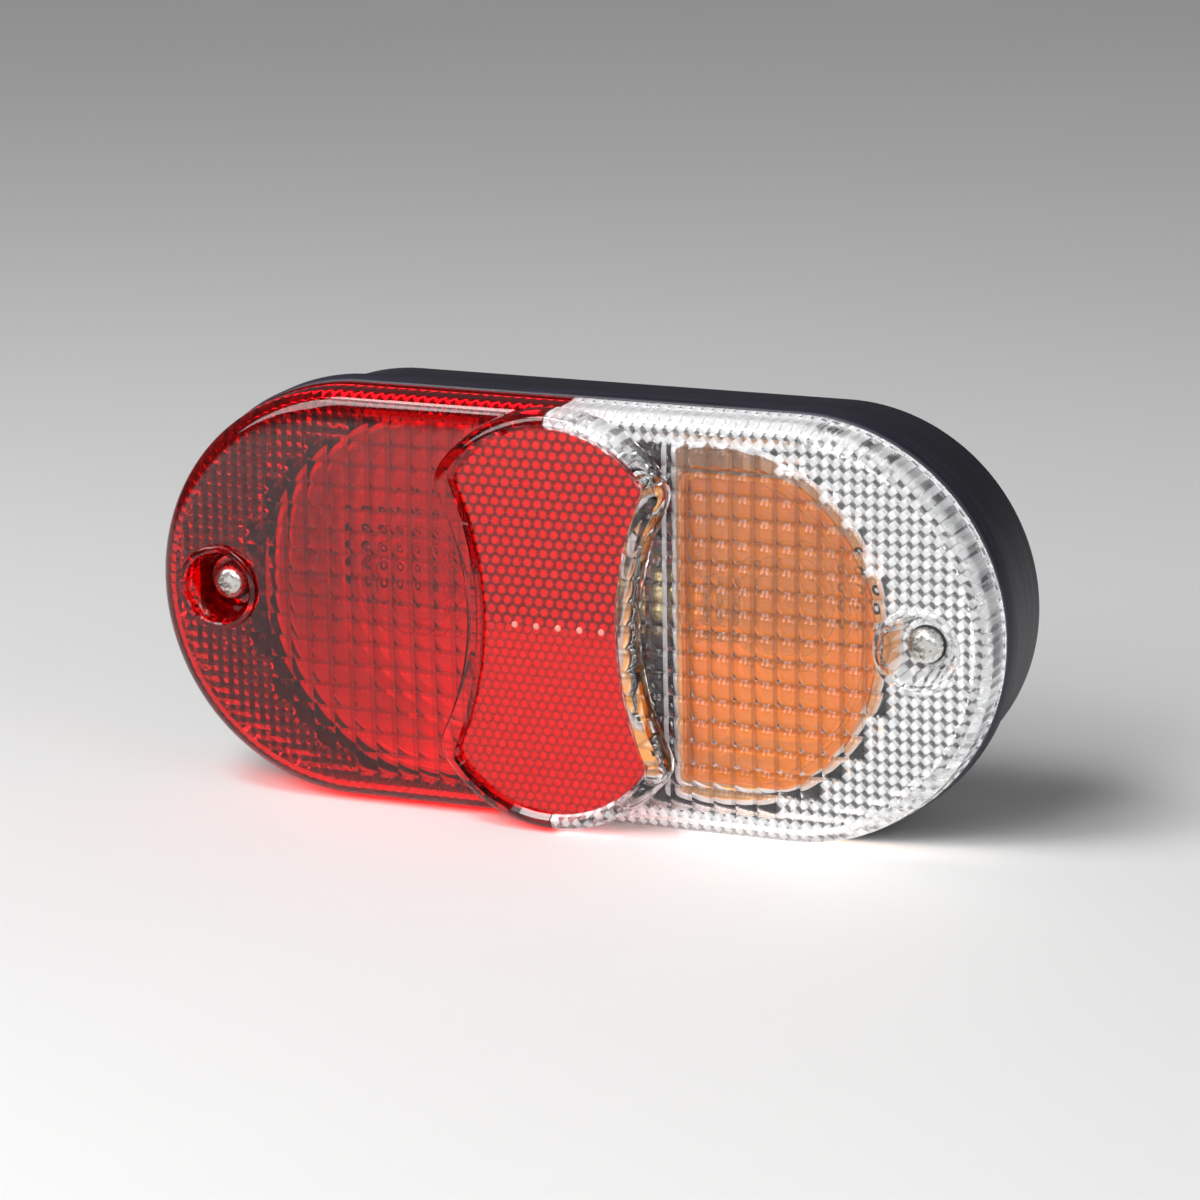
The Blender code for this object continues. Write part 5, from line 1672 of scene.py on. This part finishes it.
class LAMP_OT_build_screws(bpy.types.Operator):
    """Builds the lens screws."""
    bl_idname = "lamp.build_screws"
    bl_label = "Screws"
    bl_options = {"REGISTER", "UNDO"}

    def execute(self, context):
        make_screws()
        return {"FINISHED"}


class LAMP_OT_build_inserts(bpy.types.Operator):
    """Builds the threaded inserts and the screws' washers."""
    bl_idname = "lamp.build_inserts"
    bl_label = "Inserts and washers"
    bl_options = {"REGISTER", "UNDO"}

    def execute(self, context):
        make_inserts()
        return {"FINISHED"}


class LAMP_OT_build_stage(bpy.types.Operator):
    """Builds the floor, the lights and the camera."""
    bl_idname = "lamp.build_stage"
    bl_label = "Stage"
    bl_options = {"REGISTER", "UNDO"}

    def execute(self, context):
        make_stage()
        return {"FINISHED"}


STEPS = (
    LAMP_OT_build_housing,
    LAMP_OT_build_rubber,
    LAMP_OT_build_trays,
    LAMP_OT_build_holder,
    LAMP_OT_build_sockets,
    LAMP_OT_build_bulbs,
    LAMP_OT_build_amber,
    LAMP_OT_build_lens,
    LAMP_OT_build_reflector,
    LAMP_OT_build_screws,
    LAMP_OT_build_inserts,
    LAMP_OT_build_stage,
)


class LAMP_PT_panel(bpy.types.Panel):
    """Lists the lamp's pieces and its settings."""
    bl_label = "Rear Lamp"
    bl_idname = "LAMP_PT_panel"
    bl_space_type = "VIEW_3D"
    bl_region_type = "UI"
    bl_category = "Rear Lamp"

    def draw(self, context):
        for group, _ in GROUPS:
            held = getattr(context.scene, "lamp_" + group)
            box = self.layout.box()
            for prop in held.__annotations__:
                box.prop(held, prop)
        for operator in STEPS:
            self.layout.operator(operator.bl_idname)


GROUPS = (("lens", LampLensSettings), ("reflector", LampReflectorSettings),
          ("housing", LampHousingSettings), ("stage", LampStageSettings))


def register():
    for name, group in GROUPS:
        bpy.utils.register_class(group)
        setattr(bpy.types.Scene, "lamp_" + name, PointerProperty(type=group))
    for cls in (*STEPS, LAMP_PT_panel):
        bpy.utils.register_class(cls)


def unregister():
    for cls in (LAMP_PT_panel, *reversed(STEPS)):
        bpy.utils.unregister_class(cls)
    for name, group in reversed(GROUPS):
        delattr(bpy.types.Scene, "lamp_" + name)
        bpy.utils.unregister_class(group)


def main():
    register()
    for obj in frame["nodes"].values():
        slot = obj.data.materials[0].name.split(".")[0] if obj.data.materials else ""
        try:
            mat = finish_for(slot)
        except KeyError:
            continue
        obj.data.materials.clear()
        obj.data.materials.append(mat)
    for cls in STEPS:
        module, operator = cls.bl_idname.split(".")
        getattr(getattr(bpy.ops, module), operator)()
    after = [list(corner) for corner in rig.bounds()]
    with open("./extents.json", "w") as out:
        json.dump({"cad": CAD_BOX, "visual": after}, out)


if __name__ == "__main__":
    main()
